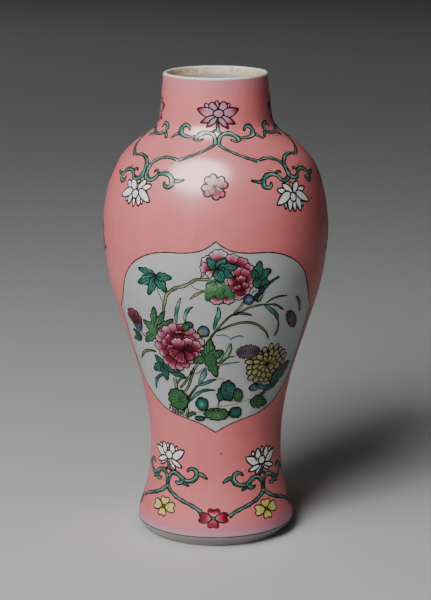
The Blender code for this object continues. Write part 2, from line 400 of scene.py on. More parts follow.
# Heights, and places as (radius, height).
WAIST_JOINT, BELLY_JOINT, NECK_JOINT = 46.0, 162.0, 219.0
EDGE_ROW = FOOT_HEIGHT + 1.0  # the lowest row of the wall, above the rounded edge of the foot
EDGE_ROUND = 0.9  # how far the foot's edge is rounded
LIP_BARE_FROM = 248.9
LIP_CENTRE, LIP_ROUND = (26.6, 249.0), 1.0
INNER_GLAZE_TOP = 246.2
ROW = 2.0  # how far apart the rows of a turned piece lie
UNDERCUT_FOOT = (37.8, 0.55)
RECESS_TOP = 9.0
STANDING = [  # the foot ring, from the outside to the recess
    (37.1, 0.2), (36.6, 0), (32, 0), (31.5, 0.35), (31.2, 3), (30.4, 7.4), (29.6, 8.6), (27.9, RECESS_TOP)
]
INSIDE_FLOOR = [(0, 15.0), (8, 15.0), (16, 15.3), (21, 16.0), (25, 17.5), (28, 20.0)]
INSIDE_WALL_FROM = 26


def inner_depth(height):
    """How deep the inner face of the paste lies."""
    return float(np.interp(height, *np.array(PASTE_INNER).T))


def outer_run(low, high, depth):
    return [wall(h, depth) for h in rows_between(low, high, ROW)[::-1]]


def inner_run(low, high, extra=0.0):
    return [wall(h, inner_depth(h) + extra) for h in rows_between(low, high, ROW)]


def undercut_run(depth):
    """The rounded edge of the foot and the undercut below it."""
    edge = Vector((WALL[0][1], WALL[0][0]))
    end = Vector(UNDERCUT_FOOT)
    under = (end - edge).normalized()
    inward = Vector((under.y, -under.x))
    start = edge + Vector((-0.02, 0.9 * EDGE_ROUND)) - Vector((depth, 0))
    finish = edge + under * EDGE_ROUND + inward * depth
    corner = edge + (inward - Vector((1, 0))) * depth * 0.75
    steps = (0.0, 0.25, 0.5, 0.75, 1.0)
    bend = [start * (1 - t) ** 2 + corner * 2 * t * (1 - t) + finish * t**2 for t in steps]
    last = end + inward * depth
    return [tuple(p) for p in bend] + [tuple(finish.lerp(last, t)) for t in (0.33, 0.66, 1.0)]


def foot_paste(paste):
    """The foot section, with the floor of the inside and the recess inside the foot ring."""
    top = WAIST_JOINT - JOINT_CLEAR
    profile = INSIDE_FLOOR + inner_run(INSIDE_WALL_FROM, top) + outer_run(EDGE_ROW, top, PASTE_DEPTH)
    profile += undercut_run(PASTE_DEPTH) + STANDING + [(0, RECESS_TOP)]
    turned("foot_section_paste", profile, paste, "bare_paste", "foot_section")


def wall_paste(paste):
    """The belly and shoulder sections."""
    for name, low, high in (("belly", WAIST_JOINT, BELLY_JOINT), ("shoulder", BELLY_JOINT, NECK_JOINT)):
        low, high = low + JOINT_CLEAR, high - JOINT_CLEAR
        profile = outer_run(low, high, PASTE_DEPTH) + inner_run(low, high)
        turned(name + "_section_paste", profile, paste, "bare_paste", name + "_section", FEWER_SIDES)


def neck_paste(paste):
    """The neck, with the bare round crown of its lip standing out to the enamel's face."""
    r, h = LIP_CENTRE
    arc = np.linspace(math.pi, 0, 13)
    profile = [(r + LIP_ROUND * math.cos(t), h + LIP_ROUND * math.sin(t)) for t in arc]
    profile += [wall(LIP_BARE_FROM + LAYER_GAP, depth) for depth in (0.0, PASTE_DEPTH)]
    profile += outer_run(NECK_JOINT + JOINT_CLEAR, LIP_BARE_FROM - 0.3, PASTE_DEPTH)
    profile += inner_run(NECK_JOINT + JOINT_CLEAR, LIP_HEIGHT)
    turned("neck_section_paste", profile, paste, "bare_paste", "neck_section")


def joint_slips(slip):
    """The thin rings of slip between the sections."""
    for name, joint in (("waist", WAIST_JOINT), ("belly", BELLY_JOINT), ("neck", NECK_JOINT)):
        low, high = joint - SLIP_HALF, joint + SLIP_HALF
        ring = [wall(high, PASTE_DEPTH), wall(low, PASTE_DEPTH)]
        ring += [wall(low, inner_depth(low)), wall(high, inner_depth(high))]
        turned(name + "_joint_slip", ring, slip, "luting_slip", name + "_slip_joint", FEWER_SIDES)


def outer_glaze(glaze):
    face = outer_run(EDGE_ROW, LIP_BARE_FROM, GLAZE_DEPTH) + undercut_run(GLAZE_DEPTH)
    back = outer_run(EDGE_ROW, LIP_BARE_FROM, GLAZE_BACK) + undercut_run(GLAZE_BACK)
    turned("outer_white_glaze", face + back[::-1], glaze, "white_glaze", "outer_glaze")


def inner_glaze(glaze):
    lift = LAYER_GAP + INNER_GLAZE_THICKNESS
    profile = [(r if r < 24 else r - 0.4, h + lift) for r, h in INSIDE_FLOOR]
    profile += inner_run(INSIDE_WALL_FROM, INNER_GLAZE_TOP, lift)
    profile += inner_run(INSIDE_WALL_FROM, INNER_GLAZE_TOP, LAYER_GAP)[::-1]
    profile += [(r, h + LAYER_GAP) for r, h in INSIDE_FLOOR[::-1]]
    turned("inner_white_glaze", profile, glaze, "white_glaze", "inner_glaze", FEWER_SIDES)


def base_glaze(glaze):
    top = RECESS_TOP - LAYER_GAP
    base = [(0, top), (27.8, top), (28.6, top - 0.3), (27.6, top - 0.6), (0, top - 0.5)]
    turned("base_white_glaze", base, glaze, "white_glaze", "base_glaze")


# ---------------------------------------------------------------- the pink ground and its panels

PANEL_HALF = [
    [(0, 170.8), (3, 168.3), (7, 166), (12, 164.8), (18, 164.2), (26, 164), (33, 162.7),
     (40, 159.8), (47, 155.3), (53, 148.9), (57.5, 141.2), (62, 134), (68.5, 128.2)],
    [(68.5, 128.2), (68.6, 121), (70, 113), (72, 105), (73, 98), (71.5, 91), (66, 85),
     (58, 80.3), (48, 75.3), (36, 72), (23, 69.9), (11, 67.2), (0, 63)],
]
GROUND_LOW = 6.9
GROUND_COLUMNS = 216
GROUND_ROW = 2.2
SEAM = -90.0  # the degrees where the ground's sheet meets itself
FRONT, BACK = 0.0, 180.0


def curve_through(points, spacing=0.7, closed=False):
    """A Catmull-Rom curve through (degrees, height) points, sampled about this many millimetres apart."""
    points = np.array(points, float)
    if closed:
        padded = np.vstack([points[-1:], points, points[:2]])
    else:
        padded = np.vstack([2 * points[0] - points[1], points, 2 * points[-1] - points[-2]])
    out = []
    for p0, p1, p2, p3 in zip(padded, padded[1:], padded[2:], padded[3:]):
        run = math.hypot((p2[0] - p1[0]) * across(p1[1]), (p2[1] - p1[1]) * along(p1[1]))
        t = np.linspace(0, 1, max(2, int(run / spacing) + 1), endpoint=False)[:, None]
        square = (2 * p0 - 5 * p1 + 4 * p2 - p3) * t**2
        cube = (3 * p1 - p0 - 3 * p2 + p3) * t**3
        out.append(0.5 * (2 * p1 + (p2 - p0) * t + square + cube))
    if not closed:
        out.append(points[-1:])
    return np.vstack(out)


def panel_outline(centre):
    """The panel's closed outline as (degrees, height), with a point at the top, the bottom and each side."""
    half = np.vstack([curve_through(part, 1.2)[:-1] for part in PANEL_HALF])
    bottom = np.array([PANEL_HALF[-1][-1]])
    left = half[:0:-1] * (-1, 1)
    return np.vstack([half, bottom, left]) + (centre, 0.0)


def inside_outline(points, outline):
    """Which of an array of flat points lie inside the outline."""
    inside = np.zeros(len(points), bool)
    for (ax, ay), (bx, by) in zip(outline, np.roll(outline, -1, axis=0)):
        if ay == by:
            continue
        crosses = (ay > points[:, 1]) != (by > points[:, 1])
        inside ^= crosses & (points[:, 0] < ax + (points[:, 1] - ay) * (bx - ax) / (by - ay))
    return inside


def ground_plan(holes):
    """Points over the unrolled ground and round its holes, and the edges that the sheet must keep."""
    heights = rows_between(GROUND_LOW, LIP_BARE_FROM, GROUND_ROW)
    columns = np.linspace(SEAM, SEAM + 360, GROUND_COLUMNS + 1)
    grid = np.array([(a, h) for h in heights for a in columns])
    row = len(columns)
    edges = [(i, i + 1) for start in (0, len(grid) - row) for i in range(start, start + row - 1)]
    for side in (0, row - 1):
        ends = range(side, len(grid), row)
        edges += list(zip(ends, ends[1:]))
    near_hole = np.zeros(len(grid), bool)
    for hole in holes:
        gaps = (grid[:, None, :] - hole[None, ::2, :]) * (0.9, 1.0)
        near_hole |= (np.hypot(gaps[..., 0], gaps[..., 1]).min(axis=1) < 0.5) & (abs(grid[:, 0] - SEAM) > 1)
    spots = [Vector(p) for p in grid]
    for index in np.nonzero(near_hole)[0]:
        spots[index] = spots[index - 1]
    for hole in holes:
        ring = range(len(spots), len(spots) + len(hole))
        edges += list(zip(ring, [*ring[1:], ring[0]]))
        spots += [Vector(p) for p in hole]
    return spots, edges


def pink_ground(material):
    """The ground enamel: a sheet with two holes, wrapped round the wall and given its thickness."""
    holes = [panel_outline(centre) for centre in (FRONT, BACK)]
    spots, edges = ground_plan(holes)
    verts, _, faces, _, _, _ = delaunay_2d_cdt(spots, edges, [], 0, 1e-5)
    flat = np.array([tuple(v) for v in verts])
    middles = np.array([flat[list(f)].mean(axis=0) for f in faces])
    open_panel = inside_outline(middles, holes[0]) | inside_outline(middles, holes[1])
    at_far_end = np.isclose(flat[:, 0], SEAM + 360)
    twin = {round(h, 4): i for i, (a, h) in enumerate(flat) if np.isclose(a, SEAM)}
    rename = [twin[round(h, 4)] if far else i for i, (far, h) in enumerate(zip(at_far_end, flat[:, 1]))]
    kept = [tuple(rename[i] for i in face) for face, hole in zip(faces, open_panel) if not hole]
    used = sorted({i for face in kept for i in face})
    count = len(used)
    number = {old: new for new, old in enumerate(used)}
    degrees, heights = flat[used].T
    outer = place(degrees, heights, np.zeros(count))
    back = place(degrees, heights, np.full(count, -ENAMEL_THICKNESS))
    top = [tuple(number[i] for i in face) for face in kept]
    bottom = [tuple(i + count for i in face[::-1]) for face in top]
    sides = [pair for face in top for pair in zip(face, face[1:] + face[:1])]
    known = set(sides)
    rim = [(b, a, a + count, b + count) for a, b in sides if (b, a) not in known]
    mesh = bpy.data.meshes.new("pink_ground_enamel")
    mesh.from_pydata(np.vstack([outer, back]).tolist(), [], top + bottom + rim)
    smooth(mesh, 50)
    add_piece("pink_ground_enamel", mesh, material, "pink_enamel", "pink_enamel_ground")


# ---------------------------------------------------------------- brushes

BOLD, FINE = 0.84, 0.7  # drawn lines, in millimetres
SINK = 0.05  # how far a patch's edge is tucked into the layer under it
BASE_LIFT = 0.03
OVER = 0.008  # how far a drawn line stands above the shape it outlines
LAYER = 0.009  # how far the next petal stands above the last
TONE_DRIFT = 0.2  # how much a stroke's tone comes and goes along it
SLOW_SHAKE, QUICK_SHAKE = 0.13, 0.08  # how much its width does, in long and in short waves
NARROW_COLUMNS = [1.0, 0.85, -0.85, -1.0]  # where a stroke has its points across, as parts of half its width
WIDE_COLUMNS = [1.0, 0.8, 0.3, -0.3, -0.8, -1.0]
TOOTH_BITE = 0.5  # how deep a toothed leaf is cut, as a part of its width
VEIN = [(0.1, 0.1), (0.4, 0.8), (0.75, 1.0), (1.0, 0.7)]  # how far along a leaf, and how far swung out
PANEL_LIFT = -GLAZE_DEPTH  # the panels are painted on the glaze, the rest on the pink ground
LEAF_LEVEL, FLOWER_LEVEL, TOP_LEAF_LEVEL = 0.03, 0.05, 0.19  # how far up a panel's painting each group starts
SCROLL_LAYER = 0.004  # how far the next scroll stands above the last


def offset(centre, x, y):
    """Places x millimetres to the right of another and y up the wall from it. Takes arrays."""
    return centre[0] + x / float(across(centre[1])), centre[1] + y / float(along(centre[1]))


def reach_between(base, tip, height):
    """From one place to another in millimetres, on the wall as it is at this height."""
    return Vector(((tip[0] - base[0]) * across(height), (tip[1] - base[1]) * along(height)))


def leaning(x, y, degrees):
    """A point turned anticlockwise round the origin. Takes arrays."""
    cosine, sine = math.cos(math.radians(degrees)), math.sin(math.radians(degrees))
    return x * cosine - y * sine, x * sine + y * cosine


def spread_along(values, parts, start=0.0, end=1.0):
    """Values spread evenly from start to end, read at these parts of the way. One value stays as it is."""
    values = np.atleast_1d(values)
    return np.interp(parts, np.linspace(start, end, len(values)), values)


class Brush:
    """Paints one part of the vase. Each pigment becomes one mesh of raised strokes and patches.

    turn and flip place a repeated motif: a motif drawn round 0 degrees lands round `turn`, mirrored
    when flip is -1. rise moves it up.
    """

    def __init__(self, region, ground=0.0):
        self.region = region
        self.ground = ground
        self.turn, self.flip, self.rise = 0.0, 1, 0.0
        self.level = 0.0
        self.coats = {}

    def aim(self, turn, flip=1, rise=0.0):
        self.turn, self.flip, self.rise = turn, flip, rise
        return self

    def sheet(self, pigment, degrees, heights, lifts, tones, closed=False):
        """Adds a grid of points. A closed grid joins its last column to its first."""
        coat = self.coats.setdefault(pigment, {"points": [], "tones": [], "faces": [], "count": 0})
        rows, columns = degrees.shape
        points = place(self.turn + self.flip * degrees, heights + self.rise, lifts + self.ground)
        first = coat["count"]
        coat["points"].append(points.reshape(-1, 3))
        coat["tones"].append(np.broadcast_to(tones, degrees.shape).reshape(-1))
        coat["count"] += rows * columns
        for i in range(rows - 1):
            for j in range(columns if closed else columns - 1):
                k = (j + 1) % columns
                a, b = first + i * columns, first + (i + 1) * columns
                face = (a + j, a + k, b + k, b + j)
                coat["faces"].append(face if self.flip > 0 else face[::-1])

    def finish(self, materials, replaced=None):
        for pigment, coat in self.coats.items():
            name = self.region + "_" + pigment
            mesh = bpy.data.meshes.new(name)
            mesh.from_pydata(np.vstack(coat["points"]).tolist(), [], coat["faces"])
            tone = mesh.attributes.new("tone", "FLOAT", "POINT")
            tone.data.foreach_set("value", np.concatenate(coat["tones"]).astype(np.float32))
            smooth(mesh, 60)
            nodes = (replaced or {}).get(pigment, ())
            add_piece(name, mesh, materials[pigment], PIGMENTS[pigment][0], *nodes)

    # -- lines

    def stroke(self, pigment, points, widths, tone=0.4, over=0.0, closed=False, dense=False, taper=0.8):
        """A brush line through (degrees, height) points. widths and tone are spread evenly along it."""
        path = np.array(points, float) if dense else curve_through(points, closed=closed)
        if closed:
            path = np.vstack([path, path[:1]])
        heights = path[:, 1]
        metric = np.stack([across(heights), along(heights)], axis=1)
        step = np.diff(path, axis=0) * metric[1:]
        run = np.concatenate([[0], np.cumsum(np.hypot(step[:, 0], step[:, 1]))])
        flow = np.gradient(path, axis=0) * metric
        if closed:
            flow[0] = flow[-1] = (flow[0] + flow[-1]) / 2
        flow /= np.maximum(np.hypot(flow[:, 0], flow[:, 1]), 1e-9)[:, None]
        side = np.stack([-flow[:, 1], flow[:, 0]], axis=1)
        part = run / max(run[-1], 1e-9)
        width = spread_along(widths, part)
        if not closed:
            width = width * np.sqrt(np.clip(np.minimum(run, run[-1] - run) / taper + 0.02, 0, 1))
        shake = rng.uniform(0, math.tau)
        waves = SLOW_SHAKE * np.sin(run * 1.1 + shake) + QUICK_SHAKE * np.sin(run * 2.7 + 2 * shake)
        width = width * (1 + waves)
        spread = np.array(NARROW_COLUMNS if width.max() < 1.0 else WIDE_COLUMNS)
        shift = width[:, None] / 2 * spread
        degrees = path[:, :1] + shift * side[:, :1] / metric[:, :1]
        rise = path[:, 1:] + shift * side[:, 1:] / metric[:, 1:]
        top = BASE_LIFT + self.level + over
        lifts = np.tile(np.where(np.abs(spread) == 1.0, -SINK, top), (len(path), 1))
        if not closed:
            lifts[[0, -1]] = -SINK
        tones = spread_along(tone, part) + TONE_DRIFT * np.sin(run * 0.45 + 3 * shake)
        self.sheet(pigment, degrees, rise, lifts, tones[:, None])
        return path, side, width, metric

    def ribbon(self, pigment, points, widths, tone=0.66, line_width=BOLD, shade=True):
        """A filled stroke with a fine drawn edge on both sides, and a lighter streak if it is shaded."""
        path, side, width, metric = self.stroke(pigment, points, widths, tone)
        if shade:
            lit = path + side * (width * 0.22)[:, None] / metric
            self.stroke(pigment, lit[1:-1], 0.3 * width.mean(), 0.85, OVER / 2, dense=True)
        for way in (-1, 1):
            edge = path + way * side * (width / 2)[:, None] / metric
            self.stroke("line", edge, line_width, 0.3, OVER, dense=True, taper=0.6)

    # -- filled shapes

    def patch(self, pigment, centre, outline, tone, line=None, line_width=FINE):
        """A filled shape with its edge drawn in the line pigment. outline is in millimetres round centre."""
        x, y = outline.T
        count = max(3, int(math.ceil(np.hypot(x, y).max() / 1.1)) + 1)
        fractions = np.concatenate([[0.001], np.linspace(0.93 / count, 0.93, count), [1.0]])[:, None]
        xs, ys = fractions * x, fractions * y
        degrees, heights = offset(centre, xs, ys)
        lifts = np.full_like(xs, BASE_LIFT + self.level)
        lifts[-1] = -SINK
        turning = np.sum(x * np.roll(y, -1) - y * np.roll(x, -1))
        order = slice(None, None, -1 if turning > 0 else 1)
        grids = [grid[:, order] for grid in (degrees, heights, lifts, tone(xs, ys))]
        self.sheet(pigment, *grids, closed=True)
        if line:
            path = np.stack(offset(centre, x, y), axis=1)
            self.stroke(line, path, line_width, 0.3, OVER, closed=True, dense=True)

    def petal(self, pigment, base, tip, width, tones=(0.4, 0.7), point=0.5, root=0.55, notch=0.0, teeth=0,
              line="line", line_width=FINE, veins=0):
        """A petal or leaf from base to tip. point near 0.5 is round and near 1 is sharp."""
        middle = ((base[0] + tip[0]) / 2, (base[1] + tip[1]) / 2)
        reach = reach_between(base, tip, middle[1])
        length = reach.length
        forward = reach / length
        sideways = Vector((-forward.y, forward.x))
        t = (1 - np.cos(np.linspace(0, math.pi, max(9, int(length * 1.6), 7 * teeth) + 1))) / 2
        peak = (root / (root + point)) ** root * (point / (root + point)) ** point
        half = width / 2 * t**root * (1 - t) ** point / peak
        if teeth:
            half = half * (1 + TOOTH_BITE * ((t * teeth) % 1 - 0.5))
        x = np.concatenate([t, t[-2:0:-1]]) * length
        y = np.concatenate([half, -half[-2:0:-1]])
        if notch:
            x = x - notch * length * np.exp(-((y / (0.16 * width)) ** 2)) * (x > length * 0.6)
        x = x - length / 2
        outline = np.stack([x * forward.x + y * sideways.x, x * forward.y + y * sideways.y], axis=1)

        def tone(px, py):
            return spread_along(tones, np.clip((px * forward.x + py * forward.y) / length + 0.5, 0, 1))

        self.patch(pigment, middle, outline, tone, line, line_width)
        for k in range(veins):
            lean = (k - (veins - 1) / 2) * 0.28 * width
            vein = [(0.82 * far - 0.5) * reach + sway * lean * sideways for far, sway in VEIN]
            self.stroke(line or pigment, [offset(middle, *spot) for spot in vein], [0.5, 0.3], 0.4, OVER)
        self.level += LAYER

    def fan(self, base, tip, spread, lobes, depth, tones, pigment="rose", line="maroon", line_width=0.6):
        """A fan-shaped petal with a scalloped far edge, its tones running out towards it."""
        reach = reach_between(base, tip, base[1])
        length, heading = reach.length, math.atan2(reach.y, reach.x)
        u = np.linspace(-1, 1, 8 * lobes + 9)
        r = length * (1 - 0.16 * u**2) - depth + depth * np.abs(np.sin(lobes * math.pi * (u + 1) / 2)) ** 0.7
        angle = heading + u * math.radians(spread) / 2
        rim = np.stack([r * np.cos(angle), r * np.sin(angle)], axis=1)
        root = np.linspace(0.75, 0.06, 5)[:, None]
        shift = 0.35 * length * np.array([math.cos(heading), math.sin(heading)])
        outline = np.vstack([rim, rim[-1] * root, rim[0] * root[::-1]]) - shift

        def tone(px, py):
            return spread_along(tones, np.hypot(px + shift[0], py + shift[1]) / length, 0.15, 0.97)

        self.patch(pigment, offset(base, *shift), outline, tone, line, line_width)
        self.level += LAYER

    def blob(self, pigment, centre, size, turn=0.0, lobes=0, depth=0.0, tones=(0.5, 0.5), line="line",
             line_width=FINE):
        """An ellipse, plain or scalloped. size is its width and height, turned anticlockwise by degrees."""
        t = np.linspace(0, math.tau, max(16, 8 * lobes), endpoint=False)
        swell = 1 + (depth * (np.abs(np.sin(lobes * t / 2)) - 0.6) if lobes else 0)
        x, y = size[0] / 2 * swell * np.cos(t), size[1] / 2 * swell * np.sin(t)
        outline = np.stack(leaning(x, y, turn), axis=1)
        far = max(size) / 2

        def tone(px, py):
            return tones[0] + (tones[-1] - tones[0]) * np.clip(np.hypot(px, py) / far, 0, 1)

        self.patch(pigment, centre, outline, tone, line, line_width)
        self.level += LAYER


# ---------------------------------------------------------------- lotus and scroll bands

# Petals of a lotus seen from the side: base, tip, width and sharpness, in millimetres from its heart.
UPRIGHT_LOTUS = [
    ((-4.4, 4), (-6.9, 6.8), 2, 0.5),
    ((4.2, 4.2), (6.2, 6.8), 2, 0.5),
    ((-0.5, 4), (-0.7, 8.4), 2.4, 0.6),
    ((-1.3, 1.3), (-3.7, 7.4), 4.2, 0.45),
    ((1.6, 1.5), (3.5, 7.7), 4.4, 0.45),
    ((-1.3, 0.9), (-11.2, 4), 4.8, 0.85),
    ((1.8, 0.8), (11, 3.8), 4.8, 0.85),
    ((-0.9, 0.2), (-9, -3.1), 3.1, 0.85),
    ((0.9, 0.2), (9, -3.8), 3.2, 0.85),
    ((-0.5, -0.3), (-6, -5.4), 2.6, 0.8),
    ((0.3, -0.3), (5.2, -6.1), 2.7, 0.8),
    ((-2.6, 1.6), (3, 1.8), 4.2, 0.5),
]
HANGING_LOTUS_LEFT = [
    ((-5.8, 1), (-10.4, 4.7), 3.2, 0.67),
    ((-3.2, -0.2), (-6.6, 7.1), 4.4, 0.72),
    ((-0.4, 0.4), (3.5, 6.8), 3.9, 0.67),
    ((1.8, 1.5), (7.9, 4.1), 3.2, 0.57),
    ((-7.3, -3.6), (-8.3, -6.3), 1.6, 0.82),
    ((-4.8, -0.4), (-5.8, -7.4), 3.2, 0.82),
    ((-2, -3), (-1.9, -8.2), 2.3, 0.82),
    ((0.9, 0), (1.7, -7.4), 3.6, 0.72),
    ((3, -3), (3.9, -6.3), 1.7, 0.82),
    ((-4.6, 0.5), (-12.9, -3.8), 4.6, 0.82),
    ((0.4, 1.3), (8.4, -4.6), 4.5, 0.72),
    ((-2.1, 1.1), (-1.9, -3.8), 4.9, 0.6),
]
HANGING_LOTUS_RIGHT = [
    ((-4.2, 0.9), (-10.4, 2.3), 3.2, 0.72),
    ((-0.6, -0.2), (-6.2, 5.3), 3.9, 0.72),
    ((0.6, -0.2), (5.3, 5.4), 4.1, 0.72),
    ((3.6, 0.4), (9.9, 1.7), 3.1, 0.82),
    ((-6.2, -4.8), (-6.8, -8.1), 1.5, 0.82),
    ((4.6, -5.2), (5.3, -8.2), 1.7, 0.82),
    ((-2.8, -0.8), (-4.1, -9.5), 3.6, 0.72),
    ((-0.4, -4), (-0.9, -10.1), 2.8, 0.82),
    ((1.7, -0.8), (3.3, -10.2), 4, 0.77),
    ((-2.4, 0.4), (-11.7, -5.3), 4.8, 0.82),
    ((2.1, 0.1), (11.3, -6.1), 4.4, 0.82),
    ((-0.8, 0.1), (-0.6, -4.7), 4.3, 0.5),
]
STANDING_LOTUS_LEFT = [
    ((-6.3, 2.4), (-6.9, 5.2), 2.1, 0.72),
    ((-0.9, 3), (-0.8, 6), 2, 0.72),
    ((4.7, 1.6), (5.5, 5), 2, 0.72),
    ((-2.8, -1.4), (-11.4, 2.3), 4.3, 0.77),
    ((-2.9, -0.4), (-3.9, 6.1), 3.7, 0.67),
    ((2.8, -0.8), (2, 6.1), 4.1, 0.62),
    ((1.8, -2.9), (10, 3.3), 4.5, 0.67),
    ((-1.2, -2.8), (-6.9, -7.3), 2, 0.82),
    ((-1.8, -2.2), (-9.5, -5.3), 3.1, 0.67),
    ((0.3, -2.8), (4.5, -8.2), 2.4, 0.72),
    ((1.4, -3), (8.6, -6.3), 2.8, 0.72),
    ((-2.6, -0.6), (2.5, -0.5), 4.8, 0.5),
]
STANDING_LOTUS_RIGHT = [
    ((-6.1, 0.7), (-6.9, 3.6), 2.1, 0.72),
    ((-0.2, 2), (-0.4, 5.2), 2, 0.72),
    ((5.5, 1.2), (6.4, 3.9), 2.1, 0.72),
    ((2.8, -3), (3.1, 4.8), 4.3, 0.72),
    ((-2.6, -3.2), (-3.5, 4.5), 4, 0.72),
    ((-2.4, -4.4), (-10.9, 0.6), 4.5, 0.72),
    ((2.6, -4.6), (10.1, 1.6), 4.5, 0.77),
    ((-1, -5), (-5, -9.6), 2.2, 0.72),
    ((-1.8, -5), (-9.2, -7.1), 2.8, 0.67),
    ((0.4, -5), (5.1, -8.8), 2.1, 0.72),
    ((1.4, -4.9), (9.4, -7.2), 2.7, 0.72),
    ((-2.9, -2.4), (2.1, -2.3), 4.6, 0.5),
]
LILAC_TONES = (0.7, 1.0, 0.9, 0.45, 0.0)
PLAIN_LILAC = (0.85, 1.0, 0.95, 0.8, 0.6)
WHITE_TONES = (0.75, 1.0)
LOTUS_LINE = 1.0


def lotus(brush, heart, petals, pigment="white", tones=WHITE_TONES, small=WHITE_TONES, scale=1.0,
          line_width=LOTUS_LINE):
    """A lotus seen from the side. The narrow petals and the heart take the small tones."""
    brush.level = 0.0
    for (x0, y0), (x1, y1), width, point in petals:
        base, tip = offset(heart, x0 * scale, y0 * scale), offset(heart, x1 * scale, y1 * scale)
        inner = width < 2.5 or y1 > 7 or x0 * x1 < -4
        shades = small if inner else tones
        brush.petal(pigment, base, tip, width * scale, shades, point, line_width=line_width)
    brush.level = 0.0


# Half a repeat of the shoulder scroll, from the neck lotus (0 degrees) to the white lotus (45 degrees), as
# (points, widths).
SHOULDER_LINKS = [
    ([(1.1, 217), (4, 215.7), (10, 213.7), (16, 211.9), (22, 210.2), (26.3, 209.1)],
     [1.5, 1.1, 1, 1, 1.3, 1.6]),
    ([(26.3, 209.2), (30, 209.9), (34, 210.1), (38, 209.6), (41.6, 208.3), (44, 206.2), (44.7, 203.6),
      (44, 201), (41.8, 199.4), (39.2, 199.2), (36.9, 200.4), (35.9, 202.2), (36.8, 203.7), (38.5, 203.6),
      (38.9, 202.4)],
     [1.2, 1, 1.1, 1.2, 1.3, 1.5, 1.6, 1.9, 2.1, 1.9, 1.6, 1.5, 1.2, 0.8, 0.4]),
    ([(36.8, 201.6), (34, 202.5), (31, 202.7), (28.2, 202), (26.2, 200.3), (25.6, 198.2), (27, 196.6),
      (29.2, 196.6), (30.4, 198), (30, 199.5)],
     [1.3, 1.5, 1.6, 1.7, 1.8, 2, 2, 1.5, 1, 0.4]),
    ([(25.8, 199.9), (23, 199.6), (20.6, 200), (18.2, 200.6)], [1.2, 1.3, 0.9, 0.3]),
]
NECK_SCROLLS = [
    ([(1.3, 216.6), (1.5, 218.4), (2.9, 220.4), (6.4, 221.6), (11, 221.8), (14.8, 221.1), (18, 219.9),
      (19, 218.9), (17.4, 218.2), (14.8, 218.1), (12.6, 218.7), (11.6, 219.5)],
     [1.4, 1.5, 1.5, 1.4, 1.5, 1.7, 1.9, 1.9, 1.7, 1.2, 0.8, 0.4]),
    ([(19, 219.9), (24, 219.5), (29, 219.7), (33, 220.3), (35.8, 221.6), (35.9, 223.4), (33.6, 224.8),
      (30.3, 225), (27.6, 223.9), (26.4, 222.1)],
     [1.2, 1.1, 1.2, 1.5, 1.9, 2, 1.8, 1.4, 0.9, 0.4]),
    ([(35.4, 221), (38.6, 220.4), (41.4, 219.3), (43.8, 218)], [1.2, 1.3, 1, 0.3]),
]
SCROLL_WEIGHT = 1.22
SPECKS = [(-28, 208, 0.9), (59.5, 187.8, 1.1), (104, 186, 0.8), (-131, 176, 0.7)]  # degrees, height, size
SPROUTS = [
    ([(20.2, 219), (22.5, 218.2), (25.6, 217.5)], 0.55),
    ([(33.6, 203.9), (31.6, 204.6), (29.4, 205.1)], 0.7),
]


def shoulder_band(materials):
    """The lotus scroll round the neck and shoulder: four repeats, each mirrored about the lilac lotus."""
    brush = Brush("shoulder_band")
    for quarter in range(4):
        centre = 90.0 * quarter
        scroll_centre = centre + (1.2 if quarter == 0 else 0.0)
        for flip, rise in ((1, 0.0), (-1, 0.5)):
            brush.aim(scroll_centre, flip, rise)
            brush.level = 0.0
            for points, widths in NECK_SCROLLS + SHOULDER_LINKS:
                brush.ribbon("turquoise", points, [SCROLL_WEIGHT * w for w in widths])
                brush.level += SCROLL_LAYER
            for points, width in SPROUTS:
                brush.stroke("line", points, [width, 0.6 * width, 0.2], 0.9)
            brush.ribbon("turquoise", [(0.2, 223.2), (2.4, 222.6), (5.6, 221.9)], [1.3, 1.1, 0.4], tone=0.7)
        brush.aim(centre)
        brush.ribbon("turquoise", [(2.2, 229.0), (2.0, 226.0), (1.8, 222.4)], [0.9, 1.1, 1.6])
        lotus(brush, (2.4, 230.2), UPRIGHT_LOTUS, "lilac", LILAC_TONES, PLAIN_LILAC, line_width=BOLD)
        left = quarter % 2
        heart = (45.0, 193.0) if left else (45.0, 192.6)
        calyx = offset(heart, -1.8 if left else -0.2, 5.6 if left else 4.0)
        brush.blob("olive", calyx, (2.6, 3.2), tones=(0.9, 0.6))
        lotus(brush, heart, HANGING_LOTUS_LEFT if left else HANGING_LOTUS_RIGHT)
        brush.aim(centre)
        rosette(brush, (-0.5, 198.0))
    brush.aim(0.0)
    for degrees, height, size in SPECKS:
        brush.blob("maroon", (degrees, height), (size, size), line=None)
    brush.finish(materials)


def rosette(brush, centre):
    """A small flower of four scalloped petals with sepals showing between them."""
    brush.level = 0.0
    for turn in (30, 118, 205, 295):
        tip = offset(centre, *leaning(7.1, 0, turn))
        brush.fan(centre, tip, 86, 2, 1.5, (0.25, 0.5, 0.42, 0.66, 0.58), line="line", line_width=LOTUS_LINE)
    for turn in (72, 152, 247, 331):
        base, tip = [offset(centre, *leaning(out, 0, turn)) for out in (0.4, 5.0)]
        brush.petal("olive", base, tip, 1.3, (0.5, 0.95), 0.9, line="maroon", line_width=0.25)
    brush.level = 0.0


